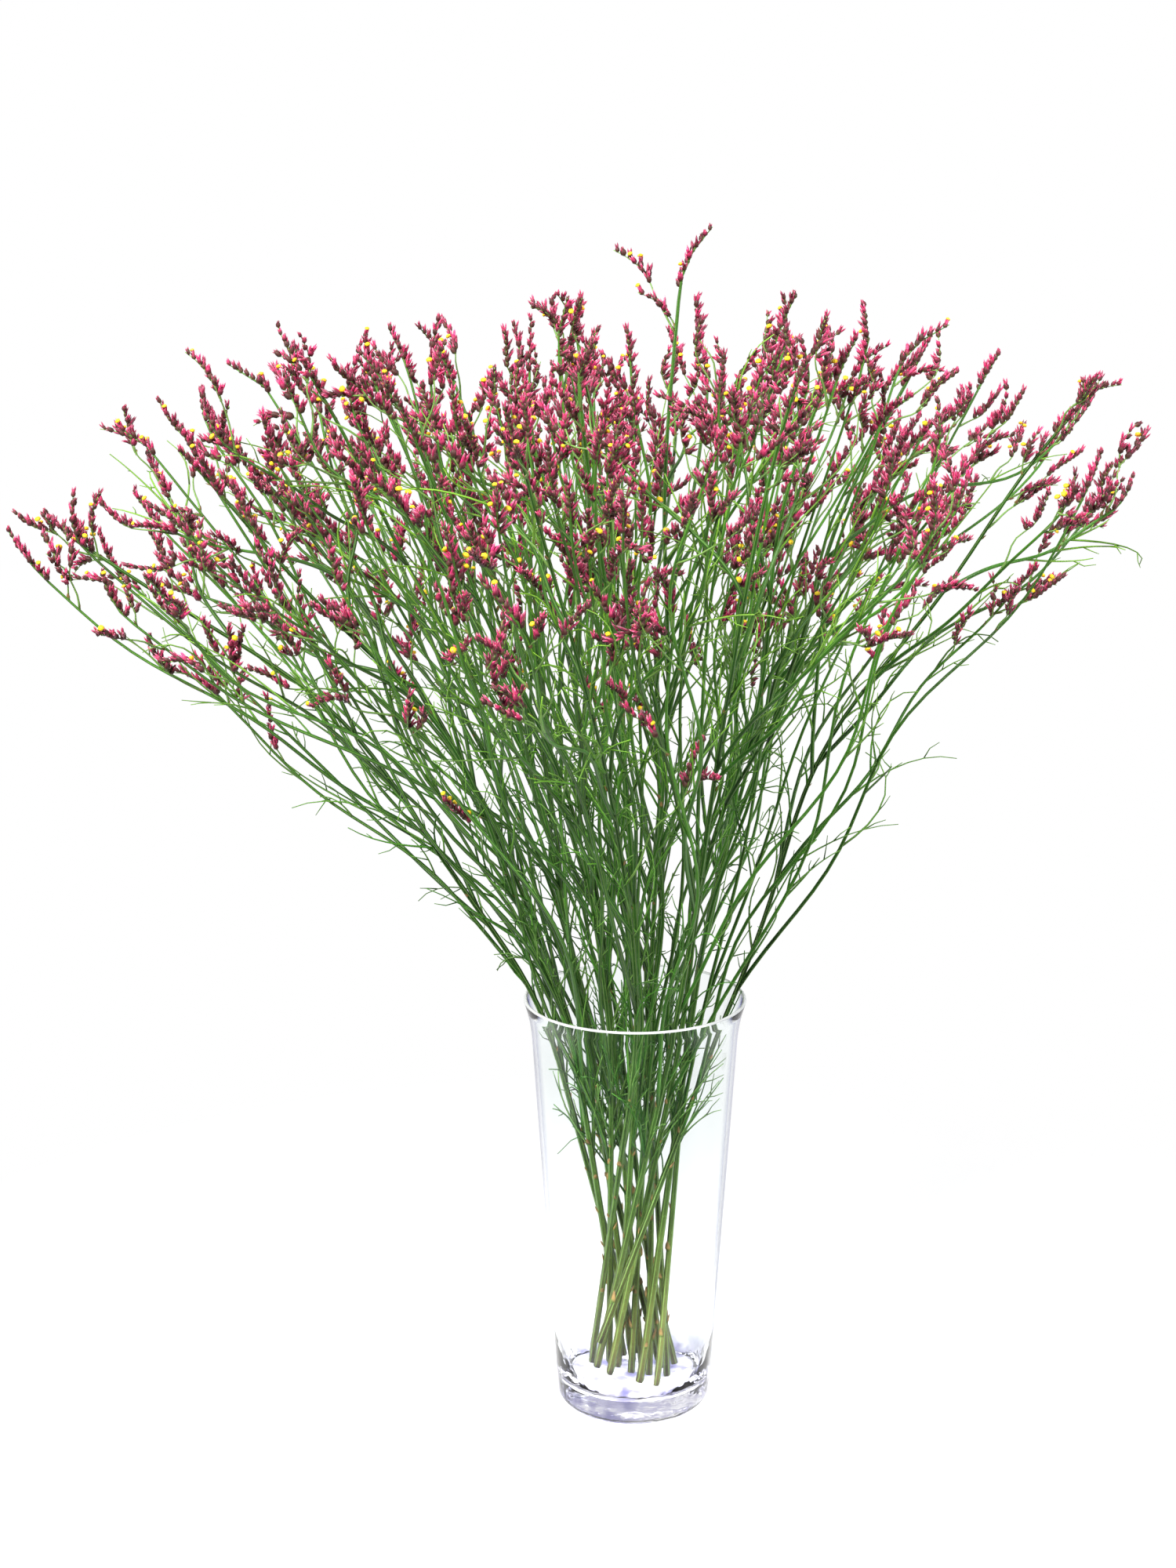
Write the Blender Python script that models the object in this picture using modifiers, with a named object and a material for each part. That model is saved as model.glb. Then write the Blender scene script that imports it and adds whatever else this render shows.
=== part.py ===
"""Dried statice in a clear glass vase.

Cut stems of statice stand on the floor of a tapered glass vase, cross at a waist inside it, lean out over
its lip and open into a dome of one-sided flower spikes. Each stem is one solid with its branches, twigs
and florets. Units are metres, +Z is up, and the origin is the centre of the vase's underside.
"""

import math

import bmesh
import bpy
import numpy as np

# Vase
VASE_HEIGHT = 0.250
BASE_RADIUS = 0.0445
NECK_HEIGHT = 0.225
NECK_RADIUS = 0.0593
LIP_RADIUS = 0.0645
WALL = 0.0022
FLOOR_HEIGHT = 0.015
HEEL_RADIUS = 0.009
FLOOR_CORNER_RADIUS = 0.006
ARC_STEPS = 2
VASE_STEPS = 30
LIP_CENTRE = np.array([0.0, 0.0, VASE_HEIGHT])

# Bunch
STEM_COUNT = 18
FOOT_SPREAD = 0.029
LEAN_HEIGHT = 0.205
LEAN_SPREAD = 0.046
LEAN_STEP = 0.0005
TWIST = math.radians(110)
FOOT_JITTER = math.radians(18)
FIRST_TURN = math.radians(3)
GOLDEN_ANGLE = math.pi * (3 - math.sqrt(5))
SHORT_STEM = 13
SHORT_STEM_TURN = math.radians(176)
SHORT_STEM_JITTER = math.radians(70)
SHORT_STEM_HEIGHT = 0.052
TALL_STEM = 0
TALL_STEM_RISE = 0.028
TURN_JITTER = math.radians(7)
ANGLE_JITTER = math.radians(2.3)
TIP_JITTER = math.radians(3.5)
END_JITTER = math.radians(6)
TIP_DEPTHS = (0.0, 0.03)
DOME_RADIUS = 0.445
DOME_ANGLE = math.radians(45)
DOME_EDGE = math.radians(48.5)
DOME_EDGE_JITTER = math.radians(3)
DOME_TILT = math.radians(-4.5)
DOME_DEPTH = 0.80
CROWN_DROP = 0.036
CROWN_EDGE = 0.80
BACK_DROP = 0.055
FLARE = 1.2
REST_GAP = 0.0003
CLEARANCE = 0.0007
TRIES = 40
RETRY_TURN = 0.4
WALL_TESTS = 60
UP = np.array([0.0, 0.0, 1.0])
ANY_WAY = np.array([0.31, 0.92, 0.24])

# Stems, branches and twigs
STEM_RADII = (0.0022, 0.0027)
STEM_THINNING = 0.5
THINNING_CURVE = 1.3
STEM_RUNS = 6
STEM_SIDES = 4
SHOOT_SIDES = 3
BRANCH_RUNS = 4
BRANCH_STARTS = (0.24, 0.40, 0.55, 0.69)
BRANCH_SPREAD = math.radians(12)
BRANCH_ANGLE = math.radians(27)
BRANCH_RADIUS = 0.0017
BRANCH_TIP_DEPTHS = (0.0, 0.06)
BRANCH_RISE = 0.25
BRANCH_WANDER = 0.1
BRANCH_VARIETY = (0.8, 1.2)
BRANCH_TURN = math.radians(90)
TWIG_STARTS = (0.56, 0.78)
STEM_TWIG_STARTS = (0.80, 0.90)
TWIG_LENGTHS = (0.034, 0.058)
TWIG_ANGLE = math.radians(38)
TWIG_RADIUS = 0.0012
TWIG_THINNING = 0.75
TWIG_FOLLOW = 0.35
TWIG_RISE = 0.3
TWIG_TURN = math.radians(162)
STRAY_EVERY = 3
STRAY_START = 0.34
STRAY_LENGTHS = (0.075, 0.120)
START_JITTER = 0.03
STRAY_JITTER = 0.06

# Flower spikes
SPIKE_LENGTHS = (0.024, 0.034)
TWIG_SPIKE = 0.85
WHORL_PITCH = 0.0108
FLORET_REACH = 0.0052
FLORET_LEAN = 0.85
SPIKE_CORE = 0.0013
SPIKE_OFFSET = 0.0016
END_FLORET = 0.6
PAINT_REACH = 0.009
WHORL_PLACE = 0.6

MERGE_DISTANCE = 0.00005
SHARP_ANGLE = math.radians(40)
SEED = 24


def unit(vector):
    return vector / np.linalg.norm(vector)


def turned(vector, axis, angle):
    """The vector turned by the angle about the unit axis, by Rodrigues' formula."""
    kept = axis * (axis @ vector)
    return kept + (vector - kept) * math.cos(angle) + np.cross(axis, vector) * math.sin(angle)


def along(chain, t):
    """Points at t on a chain of cubic Bezier stretches, the first from t = 0 to 1, the next from 1 to 2."""
    t = np.asarray(t, float)
    stretch = np.minimum(t.astype(int), len(chain) - 1)
    u = (t - stretch)[:, None]
    p = chain[stretch]
    near = (1 - u) ** 3 * p[:, 0] + 3 * (1 - u) ** 2 * u * p[:, 1]
    return near + 3 * (1 - u) * u**2 * p[:, 2] + u**3 * p[:, 3]


def direction(chain, t):
    """The unit direction of the chain at t, towards its tip."""
    ends = along(chain, [max(t - 0.01, 0.0), min(t + 0.01, len(chain))])
    return unit(ends[1] - ends[0])


def last_length(chain):
    """The length of the chain's last stretch."""
    points = along(chain, np.linspace(len(chain) - 1, len(chain), 17))
    return np.linalg.norm(np.diff(points, axis=0), axis=1).sum()


def dome_direction(angle, turn):
    """A direction from the lip's centre, at an angle from the dome's own axis, which leans to -X."""
    x = math.sin(angle) * math.cos(turn)
    y = math.sin(angle) * math.sin(turn) * DOME_DEPTH
    return turned(unit(np.array([x, y, math.cos(angle)])), np.array([0.0, 1.0, 0.0]), DOME_TILT)


def inside_dome(point):
    """Whether the point, seen from the lip's centre, is within the dome's edge."""
    return math.acos(unit(point - LIP_CENTRE) @ dome_direction(0.0, 0.0)) < DOME_EDGE


def dome_point(way, depth):
    """The point in the direction that is depth under the dome, which is lower at its crown and its back."""
    crown = CROWN_DROP * max(0.0, (way[2] - CROWN_EDGE) / (1 - CROWN_EDGE))
    back = BACK_DROP * max(0.0, way[1])
    return LIP_CENTRE + way * (DOME_RADIUS - crown - back - depth)


class Shoot:
    """A stem, branch or twig: its smooth line, its points and thickness up to the spike, and the spike's end."""

    def __init__(self, chain, runs, root_radius, neck_radius, spike_length):
        self.chain = chain
        self.spike_length = spike_length
        self.neck = len(chain) - spike_length / last_length(chain)
        self.stations = np.linspace(len(chain) - 1, self.neck, runs + 1)
        if len(chain) == 2:
            self.stations = np.insert(self.stations, 0, 0.0)
        self.points = along(chain, self.stations)
        self.radii = root_radius + (neck_radius - root_radius) * (self.stations / self.neck) ** THINNING_CURVE
        self.tip = along(chain, [len(chain)])[0]

    def point_at(self, t):
        """The point at t on the straight runs between the shoot's points, where a side shoot is rooted."""
        return np.array([np.interp(t, self.stations, self.points[:, axis]) for axis in range(3)])

    def flower_side(self):
        """The side that the florets stand out to: upwards, square to the spike."""
        way = unit(self.tip - self.points[-1])
        up = UP + self.tip
        return unit(up - way * (way @ up))

    def capsules(self):
        """Straight runs with a radius each, which the shoot's surface stays inside, its spike's last."""
        points = np.vstack([self.points, self.tip])
        radii = np.append(np.maximum(self.radii[:-1], self.radii[1:]), FLORET_REACH + SPIKE_OFFSET)
        return {"starts": points[:-1], "ends": points[1:], "radii": radii}

    def spike_capsule(self):
        return {key: values[-1:] for key, values in self.capsules().items()}


def merged(groups):
    return {key: np.concatenate([group[key] for group in groups]) for key in ("starts", "ends", "radii")}


def distances(some, others):
    """The least distance between each of some straight runs and each of the others, as a table."""
    d = (some["ends"] - some["starts"])[:, None]
    e = (others["ends"] - others["starts"])[None]
    r = some["starts"][:, None] - others["starts"][None]
    a, b, c = (d * d).sum(-1), (d * e).sum(-1), (e * e).sum(-1)
    f, g = (d * r).sum(-1), (e * r).sum(-1)
    s = np.clip((b * g - c * f) / np.maximum(a * c - b * b, 1e-18), 0, 1)
    u = np.clip((b * s + g) / c, 0, 1)
    s = np.clip((b * u - f) / np.maximum(a, 1e-18), 0, 1)
    return np.linalg.norm(r + s[..., None] * d - u[..., None] * e, axis=-1)


def clear_of(some, others, margin):
    """Whether some capsules keep the margin to all the others."""
    spare = distances(some, others) - some["radii"][:, None] - others["radii"][None]
    return spare.min() > margin


def outside_radius(height):
    """The vase's outer radius: a straight taper, and a lip that flares with the square of the height."""
    slope = (NECK_RADIUS - BASE_RADIUS) / NECK_HEIGHT
    lip = np.maximum(0.0, (height - NECK_HEIGHT) / (VASE_HEIGHT - NECK_HEIGHT))
    return BASE_RADIUS + slope * height + (LIP_RADIUS - BASE_RADIUS - slope * VASE_HEIGHT) * lip**2


def wall_gap(stem):
    """The least gap between the stem and the vase's inner wall."""
    runs = zip(stem.points[:-1], stem.points[1:])
    line = np.concatenate([np.linspace(start, end, WALL_TESTS) for start, end in runs])
    line = line[line[:, 2] < VASE_HEIGHT]
    reach = np.hypot(line[:, 0], line[:, 1]) + stem.radii[0]
    return (outside_radius(line[:, 2]) - WALL - reach).min()


def foot_of(index, reach, turn, radius, lean, swerve):
    """Where the stem is cut: on the vase's floor, turned on from where it leans, or high on the far wall."""
    if index == SHORT_STEM:
        out = outside_radius(SHORT_STEM_HEIGHT) - WALL - radius - 2 * REST_GAP
        across = turn + SHORT_STEM_TURN + swerve * SHORT_STEM_JITTER
        return np.array([out * math.cos(across), out * math.sin(across), SHORT_STEM_HEIGHT])
    out = FOOT_SPREAD * reach
    back = turn - TWIST + swerve * FOOT_JITTER
    foot = np.array([out * math.cos(back), out * math.sin(back), FLOOR_HEIGHT])
    rise = unit(lean - foot)
    foot[2] += REST_GAP + radius * math.sqrt(1 - rise[2] ** 2)
    return foot


def stem_of(index, rng):
    """A stem: straight from its foot to below the lip, then curving out over the lip to the dome."""
    reach = math.sqrt((index + 0.5) / STEM_COUNT)
    turn = FIRST_TURN + index * GOLDEN_ANGLE + rng.uniform(-TURN_JITTER, TURN_JITTER)
    radius = rng.uniform(*STEM_RADII)
    angle = DOME_ANGLE * reach + rng.uniform(-ANGLE_JITTER, ANGLE_JITTER)
    out = dome_direction(angle, turn + rng.uniform(-TIP_JITTER, TIP_JITTER))
    end = dome_direction(angle * FLARE, turn + rng.uniform(-END_JITTER, END_JITTER))
    tip = dome_point(out, -TALL_STEM_RISE if index == TALL_STEM else rng.uniform(*TIP_DEPTHS))
    swerve = rng.uniform(-1, 1)
    spread = LEAN_SPREAD
    while True:
        lean = np.array([spread * reach * math.cos(turn), spread * reach * math.sin(turn), LEAN_HEIGHT])
        foot = foot_of(index, reach, turn, radius, lean, swerve)
        third = np.linalg.norm(tip - lean) / 3
        straight = [foot, foot + (lean - foot) / 3, lean - (lean - foot) / 3, lean]
        curved = [lean, lean + unit(lean - foot) * third, tip - end * third, tip]
        chain = np.array([straight, curved])
        stem = Shoot(chain, STEM_RUNS, radius, radius * STEM_THINNING, SPIKE_LENGTHS[1])
        if wall_gap(stem) > REST_GAP:
            return stem, angle, turn
        spread -= LEAN_STEP


def side_line(parent, t, target, leave, arrive):
    """One curve from the parent's middle at t, leaving in one direction and reaching the target in another."""
    root = parent.point_at(t)
    third = np.linalg.norm(target - root) / 3
    return np.array([[root, root + leave * third, target - arrive * third, target]])


def branch_of(stem, t, angle, turn, side_turn, rng):
    """A long branch, from low on the stem to a place of its own in the dome, to one side of the stem's tip."""
    middle = dome_direction(angle, turn)
    out = turned(unit(np.cross(middle, ANY_WAY)), middle, side_turn)
    aim = unit(middle + out * math.tan(BRANCH_SPREAD * rng.uniform(*BRANCH_VARIETY)))
    if not inside_dome(LIP_CENTRE + aim):
        axis = dome_direction(0.0, 0.0)
        aim = turned(axis, unit(np.cross(axis, aim)), DOME_EDGE - rng.uniform(0.0, DOME_EDGE_JITTER))
    target = dome_point(aim, rng.uniform(*BRANCH_TIP_DEPTHS))
    way = direction(stem.chain, t)
    leave = turned(way, unit(np.cross(way, out)), BRANCH_ANGLE * rng.uniform(*BRANCH_VARIETY))
    arrive = unit(aim + BRANCH_RISE * UP + BRANCH_WANDER * rng.normal(size=3))
    line = side_line(stem, t, target, leave, arrive)
    return Shoot(line, BRANCH_RUNS, BRANCH_RADIUS, TWIG_RADIUS, rng.uniform(*SPIKE_LENGTHS))


def twig_of(parent, t, lengths, runs, side_turn, rng):
    """A twig that leaves its parent at an angle and bends back towards the light."""
    way = direction(parent.chain, t)
    out = turned(unit(np.cross(way, ANY_WAY)), way, side_turn)
    leave = unit(way * math.cos(TWIG_ANGLE) + out * math.sin(TWIG_ANGLE))
    arrive = unit(leave + TWIG_FOLLOW * way + TWIG_RISE * UP)
    target = parent.point_at(t) + unit(leave + arrive) * rng.uniform(*lengths)
    line = side_line(parent, t, target, leave, arrive)
    return Shoot(line, runs, TWIG_RADIUS, TWIG_RADIUS * TWIG_THINNING, TWIG_SPIKE * rng.uniform(*SPIKE_LENGTHS))


def grow_stem(index, stem, angle, turn, others, rng):
    """The stem with what grows on it, each shoot clear of the other stems' and each spike clear of its own."""
    shoots = [stem]

    def add(make):
        own = merged([shoot.capsules() for shoot in shoots])
        for attempt in range(TRIES):
            shoot = make(RETRY_TURN * attempt)
            if not inside_dome(shoot.tip) or not clear_of(shoot.capsules(), others, CLEARANCE):
                continue
            if clear_of(shoot.spike_capsule(), own, 0.0):
                shoots.append(shoot)
                return

    side_turn = rng.uniform(0, 2 * math.pi)
    for start in BRANCH_STARTS:
        t = 1 + start + rng.uniform(-START_JITTER, START_JITTER)
        side_turn += BRANCH_TURN
        add(lambda more: branch_of(stem, t, angle, turn, side_turn + more, rng))
    for parent in list(shoots):
        starts = STEM_TWIG_STARTS if parent is stem else TWIG_STARTS
        side_turn = rng.uniform(0, 2 * math.pi)
        for start in starts:
            t = len(parent.chain) - 1 + start + rng.uniform(-START_JITTER, START_JITTER)
            t = min(t, parent.neck)
            side_turn += TWIG_TURN
            add(lambda more: twig_of(parent, t, TWIG_LENGTHS, 1, side_turn + more, rng))
    if index % STRAY_EVERY == 0:
        t = 1 + STRAY_START + rng.uniform(-STRAY_JITTER, STRAY_JITTER)
        add(lambda more: twig_of(stem, t, STRAY_LENGTHS, 2, side_turn + more, rng))
    return shoots


def plan_bunch():
    """All the stems' shoots: the main lines first, each clear of those before it, then what grows on them."""
    rng = np.random.default_rng(SEED)
    stems = []
    for index in range(STEM_COUNT):
        stem, angle, turn = stem_of(index, rng)
        while stems and not clear_of(stem.capsules(), merged([s[0].capsules() for s in stems]), CLEARANCE):
            stem, angle, turn = stem_of(index, rng)
        stems.append((stem, angle, turn))
    grown = [stem.capsules() for stem, _angle, _turn in stems]
    bunch = []
    for index, (stem, angle, turn) in enumerate(stems):
        others = merged([capsules for number, capsules in enumerate(grown) if number != index])
        shoots = grow_stem(index, stem, angle, turn, others, rng)
        grown[index] = merged([shoot.capsules() for shoot in shoots])
        bunch.append(shoots)
    return bunch


def spike_rings(shoot):
    """Centres and radii up the spike: wide where a whorl's florets end, narrow between, to a pointed end."""
    whorls = max(2, round(shoot.spike_length / WHORL_PITCH))
    side = shoot.flower_side()
    centres = []
    radii = []
    for number in range(whorls):
        size = 1.0 if number < whorls - 1 else END_FLORET
        share = (number + WHORL_PLACE) / whorls
        centre = along(shoot.chain, [shoot.neck + (len(shoot.chain) - shoot.neck) * share])[0]
        centres.append(centre + side * SPIKE_OFFSET * size)
        radii.append(FLORET_REACH * size)
        if number < whorls - 1:
            share = (number + 1) / whorls
            centres.append(along(shoot.chain, [shoot.neck + (len(shoot.chain) - shoot.neck) * share])[0])
            radii.append(SPIKE_CORE)
    return np.vstack([centres, shoot.tip]), np.append(radii, 0.0)


def new_section(sides, collection):
    """A flat polygon of unit radius, which a curve carries along its line."""
    curve = bpy.data.curves.new("section", "CURVE")
    spline = curve.splines.new("POLY")
    spline.points.add(sides - 1)
    for number, point in enumerate(spline.points):
        turn = 2 * math.pi * number / sides
        point.co = (math.cos(turn), math.sin(turn), 0.0, 1.0)
    spline.use_cyclic_u = True
    section = bpy.data.objects.new("section", curve)
    collection.objects.link(section)
    section.hide_render = True
    return section


def lean_florets(mesh, shoot):
    """Slides what stands off the spike's core forward along the spike, in proportion to how far it stands off."""
    points = np.empty(len(mesh.vertices) * 3, np.float32)
    mesh.vertices.foreach_get("co", points)
    points = points.reshape(-1, 3)
    way = unit(shoot.tip - shoot.points[-1])
    offset = points - shoot.points[-1]
    ahead = offset @ way
    stand = np.linalg.norm(offset - np.outer(ahead, way), axis=1) - SPIKE_CORE
    slide = np.where(ahead > 0, FLORET_LEAN * np.maximum(stand, 0.0), 0.0)
    mesh.vertices.foreach_set("co", (points + np.outer(slide, way)).ravel())


def add_shoot(name, shoot, section, collection):
    """The shoot as one closed tube that swells and narrows along its spike."""
    spike_centres, spike_radii = spike_rings(shoot)
    centres = np.vstack([shoot.points, spike_centres])
    curve = bpy.data.curves.new(name, "CURVE")
    curve.dimensions = "3D"
    curve.bevel_mode = "OBJECT"
    curve.bevel_object = section
    curve.use_fill_caps = True
    spline = curve.splines.new("POLY")
    spline.points.add(len(centres) - 1)
    spline.points.foreach_set("co", np.column_stack([centres, np.ones(len(centres))]).ravel())
    spline.points.foreach_set("radius", np.append(shoot.radii, spike_radii))
    tube = bpy.data.objects.new(name, curve)
    collection.objects.link(tube)
    bpy.context.view_layer.update()
    graph = bpy.context.evaluated_depsgraph_get()
    mesh = bpy.data.meshes.new_from_object(tube.evaluated_get(graph))
    bpy.data.objects.remove(tube)
    lean_florets(mesh, shoot)
    work = bmesh.new()
    work.from_mesh(mesh)
    bmesh.ops.remove_doubles(work, verts=work.verts, dist=MERGE_DISTANCE)
    bmesh.ops.recalc_face_normals(work, faces=work.faces)
    work.to_mesh(mesh)
    work.free()
    made = bpy.data.objects.new(name, mesh)
    collection.objects.link(made)
    return made


def paint(mesh, shoots, green, crimson):
    """Gives the stem's faces the green, and those that lie wholly near a spike the crimson."""
    mesh.materials.clear()
    mesh.materials.append(green)
    mesh.materials.append(crimson)
    points = np.array([vertex.co for vertex in mesh.vertices])
    spikes = merged([shoot.spike_capsule() for shoot in shoots])
    reach = distances({"starts": points, "ends": points}, spikes).min(axis=1)
    flowering = [reach[list(polygon.vertices)].max() < PAINT_REACH for polygon in mesh.polygons]
    mesh.polygons.foreach_set("material_index", np.array(flowering, np.int32))


def add_stem(name, shoots, sections, green, crimson, parts, helpers):
    """The stem as one closed solid: its own tube united with those of its branches and twigs."""
    stem = add_shoot(name, shoots[0], sections[STEM_SIDES], parts)
    repeats = bpy.data.collections.new("shoots")
    helpers.children.link(repeats)
    for shoot in shoots[1:]:
        add_shoot("shoot", shoot, sections[SHOOT_SIDES], repeats)
    union = stem.modifiers.new("Union", "BOOLEAN")
    union.operation = "UNION"
    union.operand_type = "COLLECTION"
    union.collection = repeats
    union.solver = "MANIFOLD"
    bpy.context.view_layer.update()
    graph = bpy.context.evaluated_depsgraph_get()
    mesh = bpy.data.meshes.new_from_object(stem.evaluated_get(graph))
    stem.modifiers.clear()
    stem.data = mesh
    paint(mesh, shoots, green, crimson)
    mesh.set_sharp_from_angle(angle=SHARP_ANGLE)
    for piece in list(repeats.objects):
        bpy.data.objects.remove(piece)
    bpy.data.collections.remove(repeats)


def arc(centre_x, centre_z, radius, start):
    """Points on a quarter circle, clockwise from the start angle."""
    turns = [start - math.pi / 2 * step / ARC_STEPS for step in range(ARC_STEPS + 1)]
    return [(centre_x + radius * math.cos(turn), centre_z + radius * math.sin(turn)) for turn in turns]


def vase_profile():
    """Half the vase's outline: from the floor's middle up the inside, over the lip and down the outside."""
    corner = outside_radius(FLOOR_HEIGHT) - WALL - FLOOR_CORNER_RADIUS
    inside = [(0.0, FLOOR_HEIGHT)]
    inside += arc(corner, FLOOR_HEIGHT + FLOOR_CORNER_RADIUS, FLOOR_CORNER_RADIUS, 0.0)[::-1]
    lip = LIP_RADIUS - WALL / 2
    flare = [NECK_HEIGHT, (NECK_HEIGHT + VASE_HEIGHT) / 2, VASE_HEIGHT - WALL / 3]
    inside += [(outside_radius(height) - WALL, height) for height in flare]
    outside = [(outside_radius(height), height) for height in reversed(flare)]
    outside += arc(BASE_RADIUS - HEEL_RADIUS, HEEL_RADIUS, HEEL_RADIUS, 0.0)
    return inside + [(lip, VASE_HEIGHT)] + outside + [(0.0, 0.0)]


def add_vase(glass, parts):
    """The vase, turned from its profile."""
    points = vase_profile()
    mesh = bpy.data.meshes.new("vase")
    edges = [(number, number + 1) for number in range(len(points) - 1)]
    mesh.from_pydata([(x, 0.0, z) for x, z in points], edges, [])
    mesh.materials.append(glass)
    vase = bpy.data.objects.new("vase", mesh)
    parts.objects.link(vase)
    screw = vase.modifiers.new("Turn", "SCREW")
    screw.steps = VASE_STEPS
    screw.render_steps = VASE_STEPS
    screw.use_merge_vertices = True
    screw.merge_threshold = MERGE_DISTANCE


def new_material(name, colour, roughness, transmission=0.0):
    material = bpy.data.materials.new(name)
    material.use_nodes = True
    material.diffuse_color = (*colour, 1.0)
    shader = material.node_tree.nodes["Principled BSDF"]
    shader.inputs["Base Color"].default_value = (*colour, 1.0)
    shader.inputs["Roughness"].default_value = roughness
    shader.inputs["Metallic"].default_value = 0.0
    shader.inputs["Transmission Weight"].default_value = transmission
    return material


def main():
    for old in list(bpy.data.objects):
        bpy.data.objects.remove(old)
    parts = bpy.data.collections.new("dried_statice")
    helpers = bpy.data.collections.new("helpers")
    bpy.context.scene.collection.children.link(parts)
    bpy.context.scene.collection.children.link(helpers)
    helpers.hide_render = True
    glass = new_material("clear_glass", (0.86, 0.90, 0.92), 0.03, transmission=1.0)
    green = new_material("stem_green", (0.07, 0.19, 0.03), 0.55)
    crimson = new_material("floret_crimson", (0.45, 0.03, 0.12), 0.6)
    sections = {sides: new_section(sides, helpers) for sides in (SHOOT_SIDES, STEM_SIDES)}
    add_vase(glass, parts)
    for index, shoots in enumerate(plan_bunch()):
        add_stem(f"statice_stem_{index + 1:02d}", shoots, sections, green, crimson, parts, helpers)
    for section in sections.values():
        bpy.data.objects.remove(section)


main()
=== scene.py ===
"""Dried statice in a clear glass vase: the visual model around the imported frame.

The file is laid out as a Blender add-on and is run as a script. Each stem of the bunch is grown again by the
same seeded rule as its solid, then gets finer branches, hooked twigs, bracts and florets. The vase is turned
again with a finer outline. Units are metres, +Z is up, and the origin is the centre of the vase's underside.
"""

import functools
import math

import bpy
import numpy as np
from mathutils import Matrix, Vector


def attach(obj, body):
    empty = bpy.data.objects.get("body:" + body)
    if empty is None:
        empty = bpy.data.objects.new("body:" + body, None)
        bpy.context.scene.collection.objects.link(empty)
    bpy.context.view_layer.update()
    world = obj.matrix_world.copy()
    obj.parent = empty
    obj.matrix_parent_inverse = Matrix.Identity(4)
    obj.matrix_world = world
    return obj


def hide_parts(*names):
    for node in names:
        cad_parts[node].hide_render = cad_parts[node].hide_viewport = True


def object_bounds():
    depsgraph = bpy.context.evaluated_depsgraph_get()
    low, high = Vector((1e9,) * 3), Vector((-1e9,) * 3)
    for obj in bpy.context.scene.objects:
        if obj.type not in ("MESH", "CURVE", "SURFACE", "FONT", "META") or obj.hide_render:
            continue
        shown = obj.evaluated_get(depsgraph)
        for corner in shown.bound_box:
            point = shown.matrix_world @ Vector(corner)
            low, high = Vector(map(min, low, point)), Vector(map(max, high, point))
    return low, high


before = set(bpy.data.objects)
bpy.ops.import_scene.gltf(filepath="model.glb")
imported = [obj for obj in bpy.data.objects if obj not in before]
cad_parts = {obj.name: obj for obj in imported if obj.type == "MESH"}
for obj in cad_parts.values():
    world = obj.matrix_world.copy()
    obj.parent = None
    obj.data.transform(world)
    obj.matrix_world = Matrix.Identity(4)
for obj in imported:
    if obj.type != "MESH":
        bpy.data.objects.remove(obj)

bl_info = {
    "name": "Dried statice in a vase",
    "version": (1, 0, 0),
    "blender": (4, 5, 0),
    "location": "3D View > Sidebar > Statice",
    "description": "Grows a bunch of statice in a clear glass vase around the packed frame",
    "category": "Add Mesh",
}

CAD_BOX = np.array([list(corner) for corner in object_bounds()])

# Vase
VASE_HEIGHT = 0.250
BASE_RADIUS = 0.0445
NECK_HEIGHT = 0.225
NECK_RADIUS = 0.0593
LIP_RADIUS = 0.0645
WALL = 0.0022
FLOOR_HEIGHT = 0.015
HEEL_RADIUS = 0.009
CORNER_WIDTH = 0.010
CORNER_HEIGHT = 0.045
LIP_CENTRE = np.array([0.0, 0.0, VASE_HEIGHT])
# Height of the band at the top of the lip that is painted pale, as a highlight
LIP_HIGHLIGHT_HEIGHT = 0.0016
FLAT_POINTS = 8
ARC_POINTS = 14
WALL_POINTS = 40

# Bunch
STEM_COUNT = 18
FOOT_SPREAD = 0.029
LEAN_HEIGHT = 0.205
LEAN_SPREAD = 0.046
LEAN_STEP = 0.0005
TWIST = math.radians(110)
FOOT_JITTER = math.radians(18)
FIRST_TURN = math.radians(3)
GOLDEN_ANGLE = math.pi * (3 - math.sqrt(5))
SHORT_STEM = 13
SHORT_STEM_TURN = math.radians(176)
SHORT_STEM_JITTER = math.radians(70)
SHORT_STEM_HEIGHT = 0.052
TALL_STEM = 0
TALL_STEM_RISE = 0.028
TURN_JITTER = math.radians(7)
ANGLE_JITTER = math.radians(2.3)
TIP_JITTER = math.radians(3.5)
END_JITTER = math.radians(6)
TIP_DEPTHS = (0.0, 0.03)
DOME_RADIUS = 0.445
DOME_ANGLE = math.radians(45)
DOME_EDGE = math.radians(48.5)
DOME_EDGE_JITTER = math.radians(3)
DOME_TILT = math.radians(-4.5)
DOME_DEPTH = 0.80
CROWN_DROP = 0.036
CROWN_EDGE = 0.80
BACK_DROP = 0.055
FLARE = 1.2
REST_GAP = 0.0003
CLEARANCE = 0.0007
TRIES = 40
RETRY_TURN = 0.4
WALL_TESTS = 60
LENGTH_TESTS = 17
DIRECTION_STEP = 0.01
TINY = 1e-18
UP = np.array([0.0, 0.0, 1.0])
ANY_WAY = np.array([0.31, 0.92, 0.24])

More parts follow.
